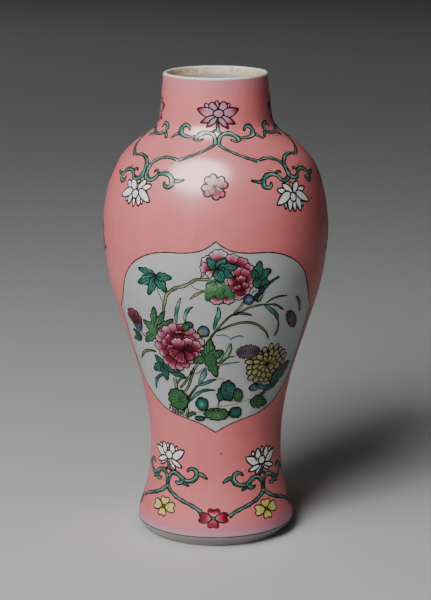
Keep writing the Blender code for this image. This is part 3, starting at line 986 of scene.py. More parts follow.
# Half a repeat of the foot scroll, from the white lotus (0 degrees here) towards the rosette (45 degrees), as
# (points, widths).
FOOT_SCROLLS = [
    ([(0.3, 30.4), (3, 28.6), (7, 26.9), (12, 25.3), (18, 23.9), (25, 22.4), (30, 20.9), (34.5, 18.8)],
     [1.7, 1.5, 1.3, 1.3, 1.2, 1.2, 1.3, 1.4]),
    ([(0.6, 30.2), (0.7, 33), (1.6, 35.6), (3.8, 37.5), (7, 38.2), (10.8, 37.6), (14, 36.4), (17.2, 35.2),
      (20.5, 34.9), (24, 35.2), (27.2, 36.6), (28.8, 38.7), (27.6, 40.9), (24.4, 41.9), (21.2, 41.2),
      (19.8, 39.3)],
     [1.5, 1.5, 1.5, 1.6, 1.7, 1.8, 1.9, 1.6, 1.4, 1.6, 1.9, 2, 1.8, 1.4, 0.9, 0.4]),
    ([(15, 36.4), (15, 34.6), (12.8, 33.2), (9.8, 33.1), (7.8, 34.3)], [1.8, 2.1, 1.8, 1.1, 0.4]),
    ([(15.3, 33.8), (18.5, 33.2), (22.5, 31.9)], [1.3, 1.1, 0.3]),
    ([(28.4, 38.9), (31.6, 39.2), (35.2, 38.2), (38.6, 36.4)], [1.2, 1.5, 1.1, 0.3]),
]
HEART_FLOWER = [  # base, tip and width of its petals, in millimetres from its eye
    ((0.2, 0.6), (0.2, 5.4), 6.4),
    ((-1, 0), (-8, 0.3), 5.7),
    ((1, 0.1), (8.1, 0.5), 5.5),
    ((0, -0.6), (-0.1, -5.2), 5.8),
]
FOOT_LINE_HEIGHT = 6.35
FOOT_ROSETTE_TONES = [(0.8, 0.74, 0.3, 0), (0.72, 0.5, 0.2, 0), (0.72, 0.56, 0.25, 0), (0.66, 0.5, 0.3, 0.6)]
YELLOW_TONES = [(0.45, 0.95)] * 4


def heart_flower(brush, centre, pigment, tones, line, eye):
    """Four heart-shaped petals round a small eye, wider than tall."""
    brush.level = 0.0
    for ((x0, y0), (x1, y1), width), tone in zip(HEART_FLOWER, tones):
        base, tip = offset(centre, x0, y0), offset(centre, x1, y1)
        brush.petal(pigment, base, tip, width, tone, 0.3, root=0.6, notch=0.16, line=line, line_width=BOLD)
    brush.blob(eye, centre, (1.9, 1.8), tones=(0.8, 0.2), line="line", line_width=0.4)
    brush.level = 0.0


def foot_band(materials):
    """The lotus scroll round the foot: four repeats. The front one sits lower and a little to the left."""
    brush = Brush("foot_band")
    for quarter in range(4):
        centre = 90.0 * quarter
        corner = centre + 45.0
        shift, drop = (1.0, 2.2) if quarter == 0 else (0.0, 0.0)
        for flip in (1, -1):
            brush.aim(corner - shift, flip, -drop)
            brush.level = 0.0
            for points, widths in FOOT_SCROLLS:
                brush.ribbon("turquoise", points, [SCROLL_WEIGHT * w for w in widths], tone=0.58)
                brush.level += SCROLL_LAYER
            brush.ribbon("turquoise", [(-0.2, 40.0), (2.4, 39.5), (5.0, 38.6)], [1.1, 0.9, 0.4], tone=0.4)
        left = quarter % 2
        brush.aim(corner - shift, 1, -drop)
        brush.ribbon("turquoise", [(-0.4, 44.0), (-0.2, 42.0), (0.0, 40.0)], [1.8, 1.5, 1.7], tone=0.4)
        brush.aim(corner)
        heart = (0.5, 48.0) if left else (-0.5, 47.0)
        lotus(brush, heart, STANDING_LOTUS_LEFT if left else STANDING_LOTUS_RIGHT)
        brush.aim(corner - shift, 1, -drop)
        heart_flower(brush, (-0.5, 19.2 if quarter else 20.4), "yellow", YELLOW_TONES, "brown", "aubergine")
        brush.aim(centre)
        heart_flower(brush, (-1.8, 16.4), "rose", FOOT_ROSETTE_TONES, "maroon", "turquoise")
    brush.aim(0.0)
    brush.blob("maroon", (4.6, 50.9), (0.9, 0.9), line=None)
    brush.blob("maroon", (26.2, 40.8), (0.8, 0.8), line=None)
    brush.blob("white", (24.6, 41.4), (0.9, 0.7), line=None)
    foot_line = [(degrees, FOOT_LINE_HEIGHT) for degrees in range(0, 360, 4)]
    brush.stroke("dull_brown", foot_line, 0.6, 0.5, closed=True)
    brush.finish(materials, {"dull_brown": ("foot_line_enamel",)})


# ---------------------------------------------------------------- the flower painting of a panel

# The peonies' petals as fans, from the back to the front: base, tip, spread in degrees, lobes and tones.
UPPER_PEONY = [
    ((1.5, 158), (1.2, 166.9), 88, 4, (0.12, 0.45, 0.8, 1)),
    ((7.5, 157.5), (8.8, 164.4), 84, 3, (0.12, 0.45, 0.75, 1)),
    ((-1, 157.5), (-6.8, 162), 74, 3, (0.3, 0.5, 0.8, 1)),
    ((-1, 156), (-7.8, 157.4), 64, 3, (0.12, 0.3, 0.7, 1)),
    ((-0.5, 156), (-4.4, 152.3), 62, 2, (0.5, 0.6, 0.85, 1)),
    ((10, 155), (15.5, 161.2), 70, 3, (0.12, 0.3, 0.55, 0.9)),
    ((12, 152.5), (18.9, 157.2), 62, 3, (0.12, 0.35, 0.6, 0.95)),
    ((13, 150), (20, 152.2), 56, 3, (0.12, 0.35, 0.6, 0.95)),
    ((13, 148), (19.8, 147.2), 56, 3, (0.2, 0.45, 0.7, 1)),
    ((12, 147), (17.4, 142.6), 62, 3, (0.2, 0.4, 0.7, 1)),
    ((11, 146.5), (12.6, 139.2), 66, 3, (0.2, 0.4, 0.7, 1)),
    ((6.3, 143), (6.6, 137), 84, 3, (0.12, 0.35, 0.8, 1)),
    ((0.8, 143), (0.4, 136.9), 92, 4, (0.12, 0.3, 0.8, 1)),
    ((12, 149), (6.8, 145), 70, 3, (0.12, 0.3, 0.5, 0.8)),
    ((12.5, 151), (5.6, 149.4), 50, 3, (0.12, 0.3, 0.6, 0.95)),
    ((12.5, 149.5), (11.2, 157.4), 58, 3, (0.15, 0.4, 0.6, 0.9)),
    ((13, 149), (15.6, 156.2), 52, 2, (0.15, 0.35, 0.6, 0.9)),
    ((13, 146.8), (12.6, 152.8), 74, 3, (0.1, 0.3, 0.55, 1)),
    ((13.5, 144.5), (15.8, 148.8), 66, 2, (0.1, 0.35, 0.6, 1)),
    ((12, 143.5), (10.6, 147.6), 74, 2, (0.1, 0.35, 0.6, 1)),
    ((13, 146), (13.4, 141.6), 84, 3, (0.05, 0.2, 0.35, 0.7)),
]
LOWER_PEONY_BACK = [
    ((-27, 114), (-39.5, 116), 34, 3, (0.2, 0.4, 0.7, 1)),
    ((-27, 114), (-36.8, 119.6), 34, 3, (0.2, 0.45, 0.7, 1)),
    ((-26, 115), (-31.6, 123.2), 42, 3, (0.2, 0.45, 0.7, 1)),
    ((-24, 116), (-25.4, 125.6), 44, 4, (0.2, 0.4, 0.7, 0.9)),
    ((-21, 117), (-19.8, 125.4), 44, 3, (0.1, 0.25, 0.4, 0.75)),
    ((-18, 116), (-13.4, 123.6), 46, 3, (0.3, 0.5, 0.7, 0.9)),
    ((-17, 115), (-9.6, 120), 42, 3, (0.3, 0.5, 0.7, 0.95)),
    ((-18, 112), (-6.6, 116.4), 34, 3, (0.2, 0.45, 0.65, 1)),
    ((-18, 111), (-7, 111.8), 34, 3, (0.2, 0.45, 0.65, 0.95)),
    ((-18, 110), (-10.6, 107.6), 40, 3, (0.2, 0.35, 0.55, 0.9)),
    ((-26, 112), (-41.5, 110.4), 28, 3, (0.15, 0.35, 0.6, 1)),
    ((-26, 110), (-38.6, 106), 30, 3, (0.15, 0.3, 0.55, 1)),
    ((-27, 108), (-36.4, 100.8), 36, 3, (0.2, 0.4, 0.55, 1)),
    ((-26, 107), (-31.2, 97.9), 38, 3, (0.2, 0.4, 0.6, 1)),
    ((-24, 107), (-25.2, 97.6), 36, 3, (0.2, 0.4, 0.6, 0.95)),
    ((-22, 107), (-19.6, 99.6), 40, 3, (0.15, 0.35, 0.55, 0.95)),
    ((-21, 108), (-14.8, 102.8), 40, 3, (0.15, 0.35, 0.55, 0.95)),
    ((-25, 110), (-34.6, 114.6), 40, 3, (0.12, 0.25, 0.45, 1)),
    ((-25, 110), (-29.8, 118.6), 44, 3, (0.12, 0.25, 0.4, 0.9)),
    ((-20, 112), (-22.4, 121.4), 50, 4, (0.1, 0.15, 0.3, 0.85)),
    ((-18, 111), (-15, 119.8), 46, 3, (0.1, 0.25, 0.45, 0.9)),
    ((-17, 109), (-10, 115.6), 46, 3, (0.12, 0.3, 0.55, 1)),
]
LOWER_PEONY_FRONT = [
    ((-24, 105), (-30.6, 112.4), 50, 3, (0.1, 0.2, 0.35, 0.8)),
    ((-16.5, 108.5), (-17.4, 117.8), 44, 3, (0.1, 0.35, 0.6, 1)),
    ((-23, 107), (-23.6, 117.2), 54, 4, (0.08, 0.25, 0.6, 1)),
    ((-21, 110.5), (-31, 106.6), 46, 3, (0.35, 0.5, 0.5, 0.7)),
    ((-21, 110.5), (-24.4, 102.2), 60, 4, (0.3, 0.5, 0.58, 0.85)),
    ((-20, 110.5), (-14.8, 104.8), 54, 3, (0.3, 0.45, 0.5, 0.75)),
]
# Where the veins of the lower peony end, and how far each one sways: degrees, height, sway.
LOWER_PEONY_VEINS = [(-36, 105.4, 0.8), (-34.4, 102.4, 0.6), (-31, 101, 0.5), (-27.6, 100.6, 0.2),
                     (-24, 100.4, 0), (-20.6, 101.8, -0.2), (-17.4, 103.4, -0.5), (-30.6, 110.6, 1)]
# How many petals in each ring, how far out they begin and end, their width, and where the ring starts.
CHRYSANTHEMUM_RINGS = [(19, 0.5, 1.03, 3.5, 0), (14, 0.26, 0.76, 3.7, 0.2), (9, 0.02, 0.46, 3.2, 0.1)]


def peony_petals(brush, petals):
    for base, tip, spread, lobes, tones in petals:
        brush.fan(base, tip, spread, lobes, 0.75, tones, "peony")


def upper_peony(brush):
    brush.blob("peony", (12.6, 149), (9, 15), tones=(0, 0), line=None)
    peony_petals(brush, UPPER_PEONY)


def lower_peony(brush):
    """The main flower, with a shadowed hollow before its front petals and dark veins from its heart."""
    brush.blob("peony", (-22, 111), (20, 15), tones=(0, 0), line=None)
    peony_petals(brush, LOWER_PEONY_BACK)
    hollow = [(-31.4, 112.6), (-28.6, 116.4), (-24.6, 118.8), (-19.6, 119.4), (-14.8, 118.8), (-11, 116.6)]
    brush.stroke("peony", hollow, [0.8, 2.0, 2.2, 2.4, 2.0, 0.8], (0.2, 0.3, 0.15, 0.3), OVER)
    peony_petals(brush, LOWER_PEONY_FRONT)
    for a, h, sway in LOWER_PEONY_VEINS:
        middle = (0.5 * (a - 20.6) - sway, 0.5 * (h + 110.4) + 0.6)
        brush.stroke("maroon", [(-20.6, 110.4), middle, (a, h)], [0.4, 0.5, 0.3], 0.6, OVER)
    brush.blob("brown", (-17.4, 112.4), (4.2, 3.4), 30, 4, 0.2, (0, 0.5), line=None)


def chrysanthemum(brush, centre, size, turn=-5.0):
    """Three rings of narrow petals; the outer tips lie on a leaning ellipse."""
    brush.blob("ochre", centre, (1.3 * size[0], 1.3 * size[1]), turn, tones=(0, 0.1), line=None)
    for count, inner, outer, width, start in CHRYSANTHEMUM_RINGS:
        for k in range(count):
            t = math.tau * k / count + start
            reach = outer * (1 + 0.07 * math.sin(5 * t + count))
            x, y = size[0] * math.cos(t), size[1] * math.sin(t)
            base, tip = [offset(centre, *leaning(far * x, far * y, turn)) for far in (inner, reach)]
            fatter = 1 + 0.2 * math.cos(t + 0.8)
            brush.petal("ochre", base, tip, width * fatter, (0.1, 0.5, 0.95), root=0.8, line_width=0.78)


def star_leaf(brush, pigment, tones, veins, centre, lobes, line="line"):
    """A leaf of pointed and toothed lobes. lobes are (tip, width)."""
    for tip, width in lobes:
        brush.petal(pigment, centre, tip, width, tones, 0.75, root=0.5, teeth=3, line=line, veins=veins)


def scalloped_leaf(brush, centre, size, turn, pigment, tones, lobes, ribs, root=None):
    """A rounded leaf with a scalloped edge and ribs fanning out from its root."""
    brush.blob(pigment, centre, size, turn, lobes, 0.16, tones)
    root = root or centre
    for k in range(ribs):
        t = math.tau * k / ribs + 0.3
        tip = offset(centre, *leaning(0.4 * size[0] * math.cos(t), 0.4 * size[1] * math.sin(t), turn))
        middle = ((root[0] + tip[0]) / 2, (root[1] + tip[1]) / 2 + 0.2)
        brush.stroke("line", [root, middle, tip], [0.5, 0.3], 0.5, OVER)


def blade(brush, pigment, width, tone, points):
    """A grass-like leaf, widest in the middle."""
    widths = [0.25 * width, 0.8 * width, width, 0.85 * width, 0.2]
    brush.ribbon(pigment, points, widths, tone, 0.5, shade=False)
    brush.level += 0.003


def stem(brush, pigment, width, tone, points):
    brush.ribbon(pigment, points, [width, width, 0.8 * width], tone, 0.6, shade=False)
    brush.level += 0.002


def twig(brush, pigment, width, tone, points):
    brush.stroke(pigment, points, [width, width, 0.5 * width], tone)


# Stems and grasses in the order they are painted: what paints them, pigment, width, tone and points.
UPPER_GROWTH = [
    (stem, "olive", 1.5, 0.62,
     [(-29.7, 130.5), (-29, 134), (-27.5, 138), (-26.2, 141.4), (-23.5, 143.6), (-20.5, 145.4),
      (-17, 146.4), (-13.5, 148.2), (-10.5, 150.2), (-7.5, 150.6), (-3, 150.8)]),
    (twig, "green", 0.9, 0.5, [(-31.8, 147), (-31.4, 143), (-30.4, 139.8), (-29.2, 136.2)]),
    (twig, "line", 0.6, 0.6, [(-8.3, 150.4), (-7.2, 152.4), (-7, 155.4)]),
    (twig, "line", 0.6, 0.6, [(-7.6, 151.6), (-5, 153.6), (-2.4, 154.6)]),
    (twig, "line", 0.5, 0.6, [(-12.6, 147.6), (-10.4, 145.6), (-7.2, 144.8), (-4.6, 144.6)]),
    (blade, "olive", 1.2, 0.7, [(-4.6, 144.8), (-8.6, 143.2), (-11.6, 141.2), (-13.9, 139.2)]),
    (stem, "olive", 0.9, 0.45,
     [(-3.6, 113), (-2.8, 118), (-0.6, 121), (2.4, 124.6), (6.2, 128.8), (9.4, 131.4)]),
    (blade, "olive", 1.4, 0.6, [(9, 130.6), (11.6, 133.4), (13.6, 135.8), (14.8, 138.6)]),
    (blade, "green", 1.2, 0.55, [(8.6, 130.7), (12.6, 131.6), (16.6, 131.2), (20.6, 129.8)]),
    (blade, "olive", 1, 0.5, [(9.6, 131), (14, 132.8), (18, 134.6), (23, 135.5), (28.5, 135.7)]),
    (blade, "olive", 0.9, 0.25, [(27.5, 136.2), (31, 138.2), (36, 139.1), (41.6, 138.7)]),
    (blade, "green", 0.9, 0.5, [(28, 135.6), (33.4, 134.8), (37.4, 132.8), (40.8, 130.6)]),
    (blade, "turquoise", 2.3, 0.6, [(26.8, 135.4), (30.8, 132.6), (35.6, 128.8), (38.6, 124.2)]),
    (blade, "olive", 1, 0.15, [(38.5, 124.8), (39.2, 120.6), (38.4, 117.8), (37.2, 116)]),
    (blade, "olive", 1.6, 0.25, [(47.8, 137.5), (50.8, 135.2), (53.6, 131.4), (55.4, 127.2)]),
    (blade, "turquoise", 2.4, 0.7, [(-1.2, 122.4), (0.2, 127.4), (1.6, 131.6), (1.2, 136.2)]),
    (blade, "olive", 1.2, 0.45,
     [(0.2, 121.4), (5.2, 123.9), (11, 125.8), (17.4, 126.4), (23, 125), (27.6, 122.2), (31.6, 118.6),
      (34, 114.6)]),
    (twig, "olive", 0.5, 0.9, [(1.6, 121.8), (5.2, 122.6), (9.4, 123.6)]),
    (stem, "green", 1.2, 0.45, [(26, 144.4), (28.2, 147), (31, 148.8), (34.4, 150.3)]),
    (blade, "turquoise", 1.8, 0.85, [(-22.6, 125), (-22.2, 130), (-20.6, 135.2), (-18.3, 140.4)]),
    (blade, "turquoise", 1.7, 0.8, [(-17.4, 126.5), (-16.8, 130.6), (-14.9, 133.6), (-11.8, 135.6)]),
]
LOWER_GROWTH = [
    (stem, "green", 0.9, 0.4, [(-12.8, 90.2), (-16.6, 86.6), (-20.6, 82.6), (-23.8, 78.8), (-26.5, 73)]),
    (twig, "olive", 0.6, 0.6,
     [(-24, 77.8), (-21.4, 75.6), (-17, 74.3), (-12, 74.3), (-7, 75.7), (0, 77.6), (8, 78.2), (15, 78.9),
      (22, 80), (29, 80.9)]),
    (twig, "olive", 0.5, 0.8, [(8.4, 80.8), (13.6, 80.3), (19.8, 79.6)]),
    (blade, "turquoise", 1.6, 0.55,
     [(-21.6, 79.4), (-16.4, 83.2), (-11.2, 86.2), (-5.6, 87.4), (0.4, 87.2)]),
    (blade, "turquoise", 1.7, 0.6, [(-13, 89.8), (-8.4, 90.8), (-4.2, 92.6), (1, 93.9)]),
    (blade, "turquoise", 2.8, 0.65, [(-12.2, 90.2), (-10, 93.6), (-8, 97), (-6.6, 101)]),
    (twig, "line", 0.4, 0.6, [(0.6, 93.9), (3.6, 94), (6.4, 93.4)]),
    (twig, "line", 0.5, 0.6, [(-14.6, 96.6), (-11.4, 97.6), (-8.2, 100.4)]),
    (stem, "olive", 1.6, 0.85, [(-30.4, 93.4), (-30.6, 90), (-30, 86)]),
    (blade, "olive", 1.5, 0.35, [(-41, 106.9), (-48, 106.6), (-55, 104.4), (-62.4, 99.6)]),
    (blade, "turquoise", 1.8, 0.5, [(-38.6, 93.9), (-44.4, 92.4), (-49.4, 89), (-52.4, 83.6)]),
]
TENDRILS = [
    (blade, "green", 2.6, 0.8, [(1.6, 102.6), (5.4, 106), (8, 110), (9.4, 115)]),
    (twig, "green", 0.55, 0.4, [(0, 119.4), (4.2, 119.7), (7.4, 118.5), (9.2, 116.4)]),
    (twig, "blue", 0.5, 0.3, [(8.6, 117), (12, 118.6), (15, 118.7), (17.2, 117.4)]),
    (twig, "blue", 0.45, 0.8, [(8.8, 116), (6.6, 114.4), (4.2, 111.8)]),
    (twig, "line", 0.45, 0.6, [(3.6, 104.4), (8.4, 106.6), (13, 107.3)]),
    (twig, "line", 0.45, 0.6, [(3.6, 102.4), (9.6, 103.2), (16.4, 103.6)]),
    (twig, "brown", 0.6, 0.3, [(0.2, 100.9), (1.8, 101.4), (3.4, 102.6)]),
]
# The top and the bottom of each short stem at the root: degrees, height, degrees, height.
ROOTS = [(-38.6, 77.4, -40.4, 73.4), (-36, 75.8, -38, 72.2), (-34, 74.8, -35.6, 71.2),
         (-31.6, 74.4, -33, 70.9), (-29.4, 74.2, -30, 71), (-27, 74.2, -27.4, 71), (-22, 76, -25, 70.8)]
# The tip and width of each petal of the bud on the left.
BUD_PETALS = [((-60.8, 125.4), 3.6), ((-48, 125.8), 3.6), ((-58.4, 128.4), 3.8), ((-50.4, 128.4), 3.8),
              ((-54.4, 129.4), 4.2)]


def grow(brush, rows):
    """Paints the rows of a growth table."""
    for paint, *looks in rows:
        paint(brush, *looks)


def stems_and_grasses(brush):
    """What grows behind the flowers, with three stems side by side under the lower peony."""
    grow(brush, UPPER_GROWTH)
    for lean in (-2.1, 0, 2.1):
        points = [(lean - 14, lean + 100.5), (lean - 17.4, lean + 96), (lean - 22, 91.5 - lean)]
        stem(brush, "olive", 1, 0.75, points + [(1.5 * lean - 27.5, 87 - lean)])
    grow(brush, LOWER_GROWTH)
    for a0, h0, a1, h1 in ROOTS:
        stem(brush, "olive", 0.8, 0.7, [(a0, h0), ((a0 + a1) / 2 + 0.2, (h0 + h1) / 2), (a1, h1)])


def peony_leaves(brush):
    """The leaves on both sides of the lower peony, and the tendrils on its right."""
    brush.level = LEAF_LEVEL
    star_leaf(brush, "green", (0.35, 0.66, 0.6, 0.2), 2, (-38, 119),
              [((-49.6, 111.4), 5), ((-46.2, 124.2), 5.2), ((-35.6, 133.2), 5.2), ((-29.4, 131.2), 4.4),
               ((-24.2, 127.6), 3.6)])
    brush.petal("green", (-38, 117), (-42, 122), 6, (0.5, 0.6), 0.5, line=None)
    star_leaf(brush, "turquoise", (0.2, 0.52, 0.5, 0.1), 2, (-38.5, 99.5),
              [((-43.6, 104.6), 4.4), ((-48.8, 95.6), 4.8), ((-37.8, 90.6), 4.8), ((-21.6, 93.8), 4.6),
               ((-26, 97), 4.4)])
    star_leaf(brush, "green", (0.3, 0.6, 0.55, 0.25), 3, (-4.4, 106.4),
              [((-15.6, 103.6), 4.6), ((-9.6, 110.6), 3.6), ((0.6, 95.2), 5.4), ((-3.4, 117.4), 5.6),
               ((4.6, 110.4), 5.6)])
    brush.blob("green", (-3, 105), (6.5, 9), tones=(0.35, 0.45), line=None)
    grow(brush, TENDRILS)


def buds_and_small_flowers(brush):
    star_leaf(brush, "turquoise", (0.1, 0.3), 0, (-52.5, 113.6), [((-62.6, 111), 3.4), ((-60.6, 116.6), 3)])
    twig(brush, "green", 0.8, 0.4, [(-51, 117.8), (-49.6, 115.2), (-45, 113.8)])
    brush.petal("blue", (-52.6, 116.8), (-53.6, 125.6), 8.8, (0.7, 0.3, 0.1), 0.35, root=0.6, veins=3)
    bud, bud_tones = (-54.2, 120.8), (0.1, 0.2, 0.62)
    for tip, width in BUD_PETALS:
        brush.petal("peony", bud, tip, width, bud_tones, 0.35, root=0.8, line="maroon", veins=1)
    brush.blob("blue", (-15.6, 125), (5.2, 3.8), tones=(0.5, 0.2))
    brush.petal("green", (-18.4, 121.8), (-16, 125.6), 3.6, (0.4, 0.6), 0.5)
    brush.blob("blue", (-7, 121.6), (6, 6.4), lobes=5, depth=0.08, tones=(0.85, 0.35))
    brush.blob("olive", (-8.4, 121.4), (2.6, 3.6), tones=(0.5, 0.7), line_width=0.25)
    brush.blob("aubergine", (49.2, 124.4), (13.6, 5.8), -47, 11, 0.18, (0.7, 0.1), line_width=0.5)
    for shift in (-0.9, 0, 0.9):
        rib = [(45 + shift, 128.2 + shift), (49.4 + shift, 124.6 + shift), (53.2 + shift, 120.8 + shift)]
        brush.stroke("aubergine", rib, [0.4, 0.3], 0.1, OVER)
    brush.blob("aubergine", (20.8, 109.2), (12.6, 7.8), -4, 15, 0.2, (0.85, 0.3), "aubergine", 0.5)
    for k in range(-4, 5):
        top = (20.8 + 1.3 * k, 111.9 - 0.25 * abs(k))
        bottom = (20.8 + 1.5 * k, 106.6 + 0.2 * abs(k))
        brush.stroke("aubergine", [top, (20.6 + 1.45 * k, 109.4), bottom], [0.5, 0.7, 0.3], 0.0, OVER)
    brush.blob("blue", (17.4, 139.2), (5.2, 5.4), tones=(0.8, 0.3))
    twig(brush, "line", 0.4, 0.6, [(18.6, 142.2), (19.6, 143.6), (21.6, 144)])
    brush.blob("blue", (24.2, 144), (3, 4), -25, tones=(0, 0.2))
    brush.blob("blue", (22, 140.6), (3, 4.6), -25, tones=(0, 0.2))
    brush.petal("olive", (22.4, 137.6), (24.8, 142.4), 1.6, (0.6, 0.8), 0.7)


def low_leaves(brush):
    scalloped_leaf(brush, (-30.2, 80.6), (12, 12.2), 12, "green", (0.62, 0.35), 11, 11, (-27.5, 80.4))
    brush.blob("turquoise", (-10.6, 79.2), (6.6, 7.4), lobes=5, depth=0.14, tones=(0.95, 0))
    brush.blob("turquoise", (-13, 70.8), (5.2, 2.6), tones=(0.3, 0.3))
    blade(brush, "green", 1.8, 0.6, [(-24.4, 70.4), (-21.6, 72.4), (-18.2, 73.4), (-15.4, 72.6)])
    scalloped_leaf(brush, (0.6, 73.5), (13, 6.6), 0, "green", (0.72, 0.35), 11, 10, (0, 76))
    star_leaf(brush, "turquoise", (0.3, 0.4), 0, (3, 81.2), [((6, 91.8), 4)])
    scalloped_leaf(brush, (9.2, 87), (7.6, 12), 8, "turquoise", (0.66, 0.1), 7, 9, (7.4, 86))
    scalloped_leaf(brush, (16.8, 84.2), (5, 7.4), 12, "green", (0.65, 0.2), 7, 6)
    twig(brush, "line", 0.6, 0.6, [(4.2, 82), (2.2, 80.2), (1.6, 78)])
    brush.blob("turquoise", (15.8, 74.2), (6.2, 6), lobes=4, depth=0.18, tones=(0.5, 0.1))
    brush.petal("green", (27.8, 79.8), (43.8, 77.2), 6.2, (0.35, 0.6, 0.2), 0.7, teeth=3, veins=3)
    brush.petal("blue", (34, 88.2), (25.6, 87.2), 3.8, (0.75, 0.4), 0.5)
    blade(brush, "turquoise", 3, 0.4, [(29, 88.8), (34, 88), (40, 86.2), (47, 86.4), (54, 89.4)])
    brush.petal("turquoise", (44, 88.4), (62, 98), 7.6, (0.4, 0.35, 0.1), 0.7, teeth=3, veins=2)
    blade(brush, "olive", 1.6, 0.2, [(31, 82.4), (34.6, 81.8), (37.8, 82.8), (41, 84.2)])


def flowers_in_front(brush):
    """The three big flowers, the leaves over the upper one, and the drooping leaf of its branch."""
    brush.level = FLOWER_LEVEL
    chrysanthemum(brush, (37.2, 100.4), (13.2, 11.4))
    brush.level = FLOWER_LEVEL
    lower_peony(brush)
    brush.level = FLOWER_LEVEL
    upper_peony(brush)
    brush.level = TOP_LEAF_LEVEL
    brush.blob("green", (-0.6, 147.8), (8.6, 5.4), -20, 6, 0.2, tones=(0.95, 0.55), line="green",
               line_width=0.5)
    star_leaf(brush, "green", (0.75, 0.85, 0.6, 0.3), 3, (-0.8, 149.6),
              [((9.9, 140.4), 5.8), ((3.6, 139.8), 6), ((-4.6, 139), 5.6)], "green")
    star_leaf(brush, "turquoise", (0.05, 0.5, 0.62, 0.25), 2, (0.4, 156.2),
              [((-4.2, 162.2), 4.4), ((5, 162.2), 4.6), ((11, 157.4), 5.2), ((8.8, 151.8), 4.6),
               ((3.4, 149), 5.4)])
    star_leaf(brush, "turquoise", (0.1, 0.5, 0.55, 0.2), 2, (20.6, 150.4),
              [((28.6, 147), 4.4), ((28.4, 154.8), 5), ((22.4, 159.6), 5.4), ((18.8, 155.6), 3.6),
               ((22, 145.2), 4.4)])
    brush.level = LEAF_LEVEL
    star_leaf(brush, "turquoise", (0.1, 0.6, 0.62, 0.05), 2, (-31.6, 150.6),
              [((-42.8, 153.6), 4.2), ((-44.2, 145.4), 5), ((-38, 139.6), 4.6), ((-26.4, 142.4), 5.4),
               ((-22.6, 150.6), 4.4)])


def panel_painting(brush):
    """Peonies, a chrysanthemum and grasses growing from the lower left, from the back to the front."""
    stems_and_grasses(brush)
    peony_leaves(brush)
    buds_and_small_flowers(brush)
    low_leaves(brush)
    flowers_in_front(brush)


def panel_border(brush):
    """The brown line round the panel."""
    brush.stroke("brown", panel_outline(0.0), 0.62, 0.25, closed=True, dense=True)


def side_sprig(brush):
    """A small lotus spray that fills the space between the two panels."""
    brush.ribbon("turquoise", [(0, 156.0), (0.6, 159), (0, 162.0)], [1.0, 1.2, 1.5])
    for flip in (1, -1):
        points = [(0, 157), (3.6, 156.2), (7.4, 157.4), (9.4, 160.2), (8.4, 163), (6.0, 162.8)]
        brush.ribbon("turquoise", [(flip * a, h) for a, h in points], [1.4, 1.6, 1.8, 1.6, 1.1, 0.4])
        tail = [(flip * a, h) for a, h in ((8.8, 158.6), (12.0, 158.2), (15.0, 159.6))]
        brush.ribbon("turquoise", tail, [1.2, 1.2, 0.3])
    lotus(brush, (0.0, 166.0), UPRIGHT_LOTUS, "lilac", LILAC_TONES, PLAIN_LILAC, 0.9, BOLD)
    brush.level = 0.0


# ---------------------------------------------------------------- stage, lights and camera

FLOOR_REACH = 9.0
FLOOR_HEIGHT, LOWER_SHEET_HEIGHT = -0.0001, -0.0003  # metres, just under the foot ring
FLOOR_GREY = (0.65, 0.65, 0.654)
LOWER_SHEET_GREY = (0.28, 0.28, 0.282)
LIT_POINT = Vector((0.0, 0.0, 0.13))

# Soft lights: degrees round and above the lit point, distance and width in metres, power, and which
# side of the materials each one shows on.
SOFT_LIGHTS = [
    ("key", -30, 36, 1.3, 0.7, 14.7, "matt"),
    ("high_key", -38, 48, 1.3, 0.7, 3.4, "matt"),
    ("low_key", -22, 17, 1.3, 0.7, 0.8, "matt"),
    ("left_edge", -75, 20, 1.3, 0.8, 1.3, "matt"),
    ("sheen", -28, 55, 1.3, 1.25, 215.0, "glossy"),
    ("back", 165, 50, 1.8, 1.0, 2.0, "glossy"),
    ("fill", 75, 8, 1.3, 1.2, 0.4, "matt"),
    ("rear", 165, 28, 1.5, 1.2, 3.2, "matt"),
]
VASE_ONLY_LIGHT = "rear"
# The lights that wash the floor behind the vase from straight above: name, place in metres and power.
FLOOR_WASHES = [("floor_wash_left", (-0.9, 2.3, 1.3), 1.7), ("floor_wash_right", (0.9, 2.3, 1.3), 0.5)]
WASH_WIDTH = 1.2


def floor_sheet(name, height, material_name, grey):
    mesh = bpy.data.meshes.new(name)
    turn = np.linspace(0, math.tau, 96, endpoint=False)
    ring = [(FLOOR_REACH * math.cos(t), FLOOR_REACH * math.sin(t), height) for t in turn]
    mesh.from_pydata(ring, [], [tuple(range(len(ring)))])
    matt = Shading(material_name, 0.75, 0.0)
    matt.colour(grey)
    mesh.materials.append(matt.material)
    sheet = bpy.data.objects.new(name, mesh)
    bpy.context.scene.collection.objects.link(sheet)
    return sheet


def floor_sheets():
    """A wide pale floor over a darker sheet. The darker one sets how much light comes back up at the vase."""
    floor = floor_sheet("floor", FLOOR_HEIGHT, "plain_floor", FLOOR_GREY)
    floor.visible_diffuse = False
    floor.visible_shadow = False
    lower_sheet = floor_sheet("floor_lower_sheet", LOWER_SHEET_HEIGHT, "dark_floor", LOWER_SHEET_GREY)


def softbox(name, where, heading, size, power, shows=None):
    """A round soft light. shows limits it to the matt or to the glossy side of the materials."""
    light = bpy.data.lights.new(name, "AREA")
    light.shape = "DISK"
    light.size = size
    light.energy = power
    lamp = bpy.data.objects.new(name, light)
    bpy.context.scene.collection.objects.link(lamp)
    lamp.location = where
    lamp.rotation_euler = heading.to_track_quat("-Z", "Y").to_euler()
    lamp.visible_glossy = shows != "matt"
    lamp.visible_diffuse = shows != "glossy"
    return lamp


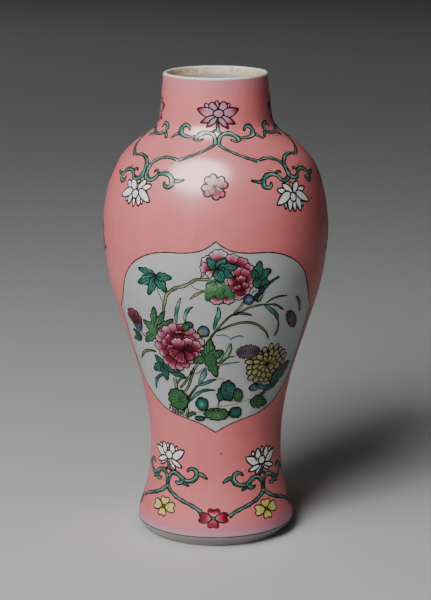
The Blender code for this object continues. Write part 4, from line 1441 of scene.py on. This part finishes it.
def studio_lights():
    """Soft light from the upper left, a weak fill, and a light from behind that falls on the vase only."""
    world = bpy.data.worlds.new("studio")
    bpy.context.scene.world = world
    world.use_nodes = True
    background = world.node_tree.nodes["Background"]
    background.inputs["Color"].default_value = (0.9, 0.95, 1.0, 1.0)
    background.inputs["Strength"].default_value = 0.004

    vase_only = bpy.data.collections.new("vase_only")
    for piece in bpy.context.scene.objects:
        if piece.type == "MESH" and not piece.name.startswith("floor"):
            vase_only.objects.link(piece)
    for name, turn, rise, away, size, power, shows in SOFT_LIGHTS:
        turn, rise = math.radians(turn), math.radians(rise)
        heading = Vector((-math.cos(rise) * math.sin(turn), math.cos(rise) * math.cos(turn), -math.sin(rise)))
        lamp = softbox(name, LIT_POINT - away * heading, heading, size, power, shows)
        if name == VASE_ONLY_LIGHT:
            lamp.light_linking.receiver_collection = vase_only
    for name, where, power in FLOOR_WASHES:
        softbox(name, where, Vector((0, 0, -1)), WASH_WIDTH, power)


def photo_camera():
    """A long lens a little above the vase, looking down 13 degrees."""
    data = bpy.data.cameras.new("camera")
    camera = bpy.data.objects.new("camera", data)
    bpy.context.scene.collection.objects.link(camera)
    data.sensor_width = 36.0
    data.lens = 132.0
    camera.location = (-0.0001, -1.156, 0.3926)
    camera.rotation_euler = (math.radians(90 - 12.96), 0.0, 0.0)
    bpy.context.scene.camera = camera


def main():
    outside, white = white_glaze("outer_white_glaze", tinted_and_shaded_foot=True), white_glaze()
    paste, slip = bare_paste(), luting_slip()
    materials = {name: pigment_material(name) for name in PIGMENTS}
    foot_paste(paste)
    wall_paste(paste)
    neck_paste(paste)
    joint_slips(slip)
    outer_glaze(outside)
    inner_glaze(white)
    base_glaze(white)
    pink_ground(pink_enamel())
    shoulder_band(materials)
    foot_band(materials)
    for side, centre, flip in (("front", FRONT, 1), ("back", BACK, -1)):
        painting = Brush(side + "_panel", PANEL_LIFT).aim(centre, flip)
        panel_painting(painting)
        painting.finish(materials)
        border = Brush(side + "_border").aim(centre)
        panel_border(border)
        border.finish(materials, {"brown": (side + "_panel_border",)})
    sprigs = Brush("side_sprigs")
    for centre in (90.0, -90.0):
        side_sprig(sprigs.aim(centre))
    sprigs.finish(materials)
    floor_sheets()
    studio_lights()
    photo_camera()


main()
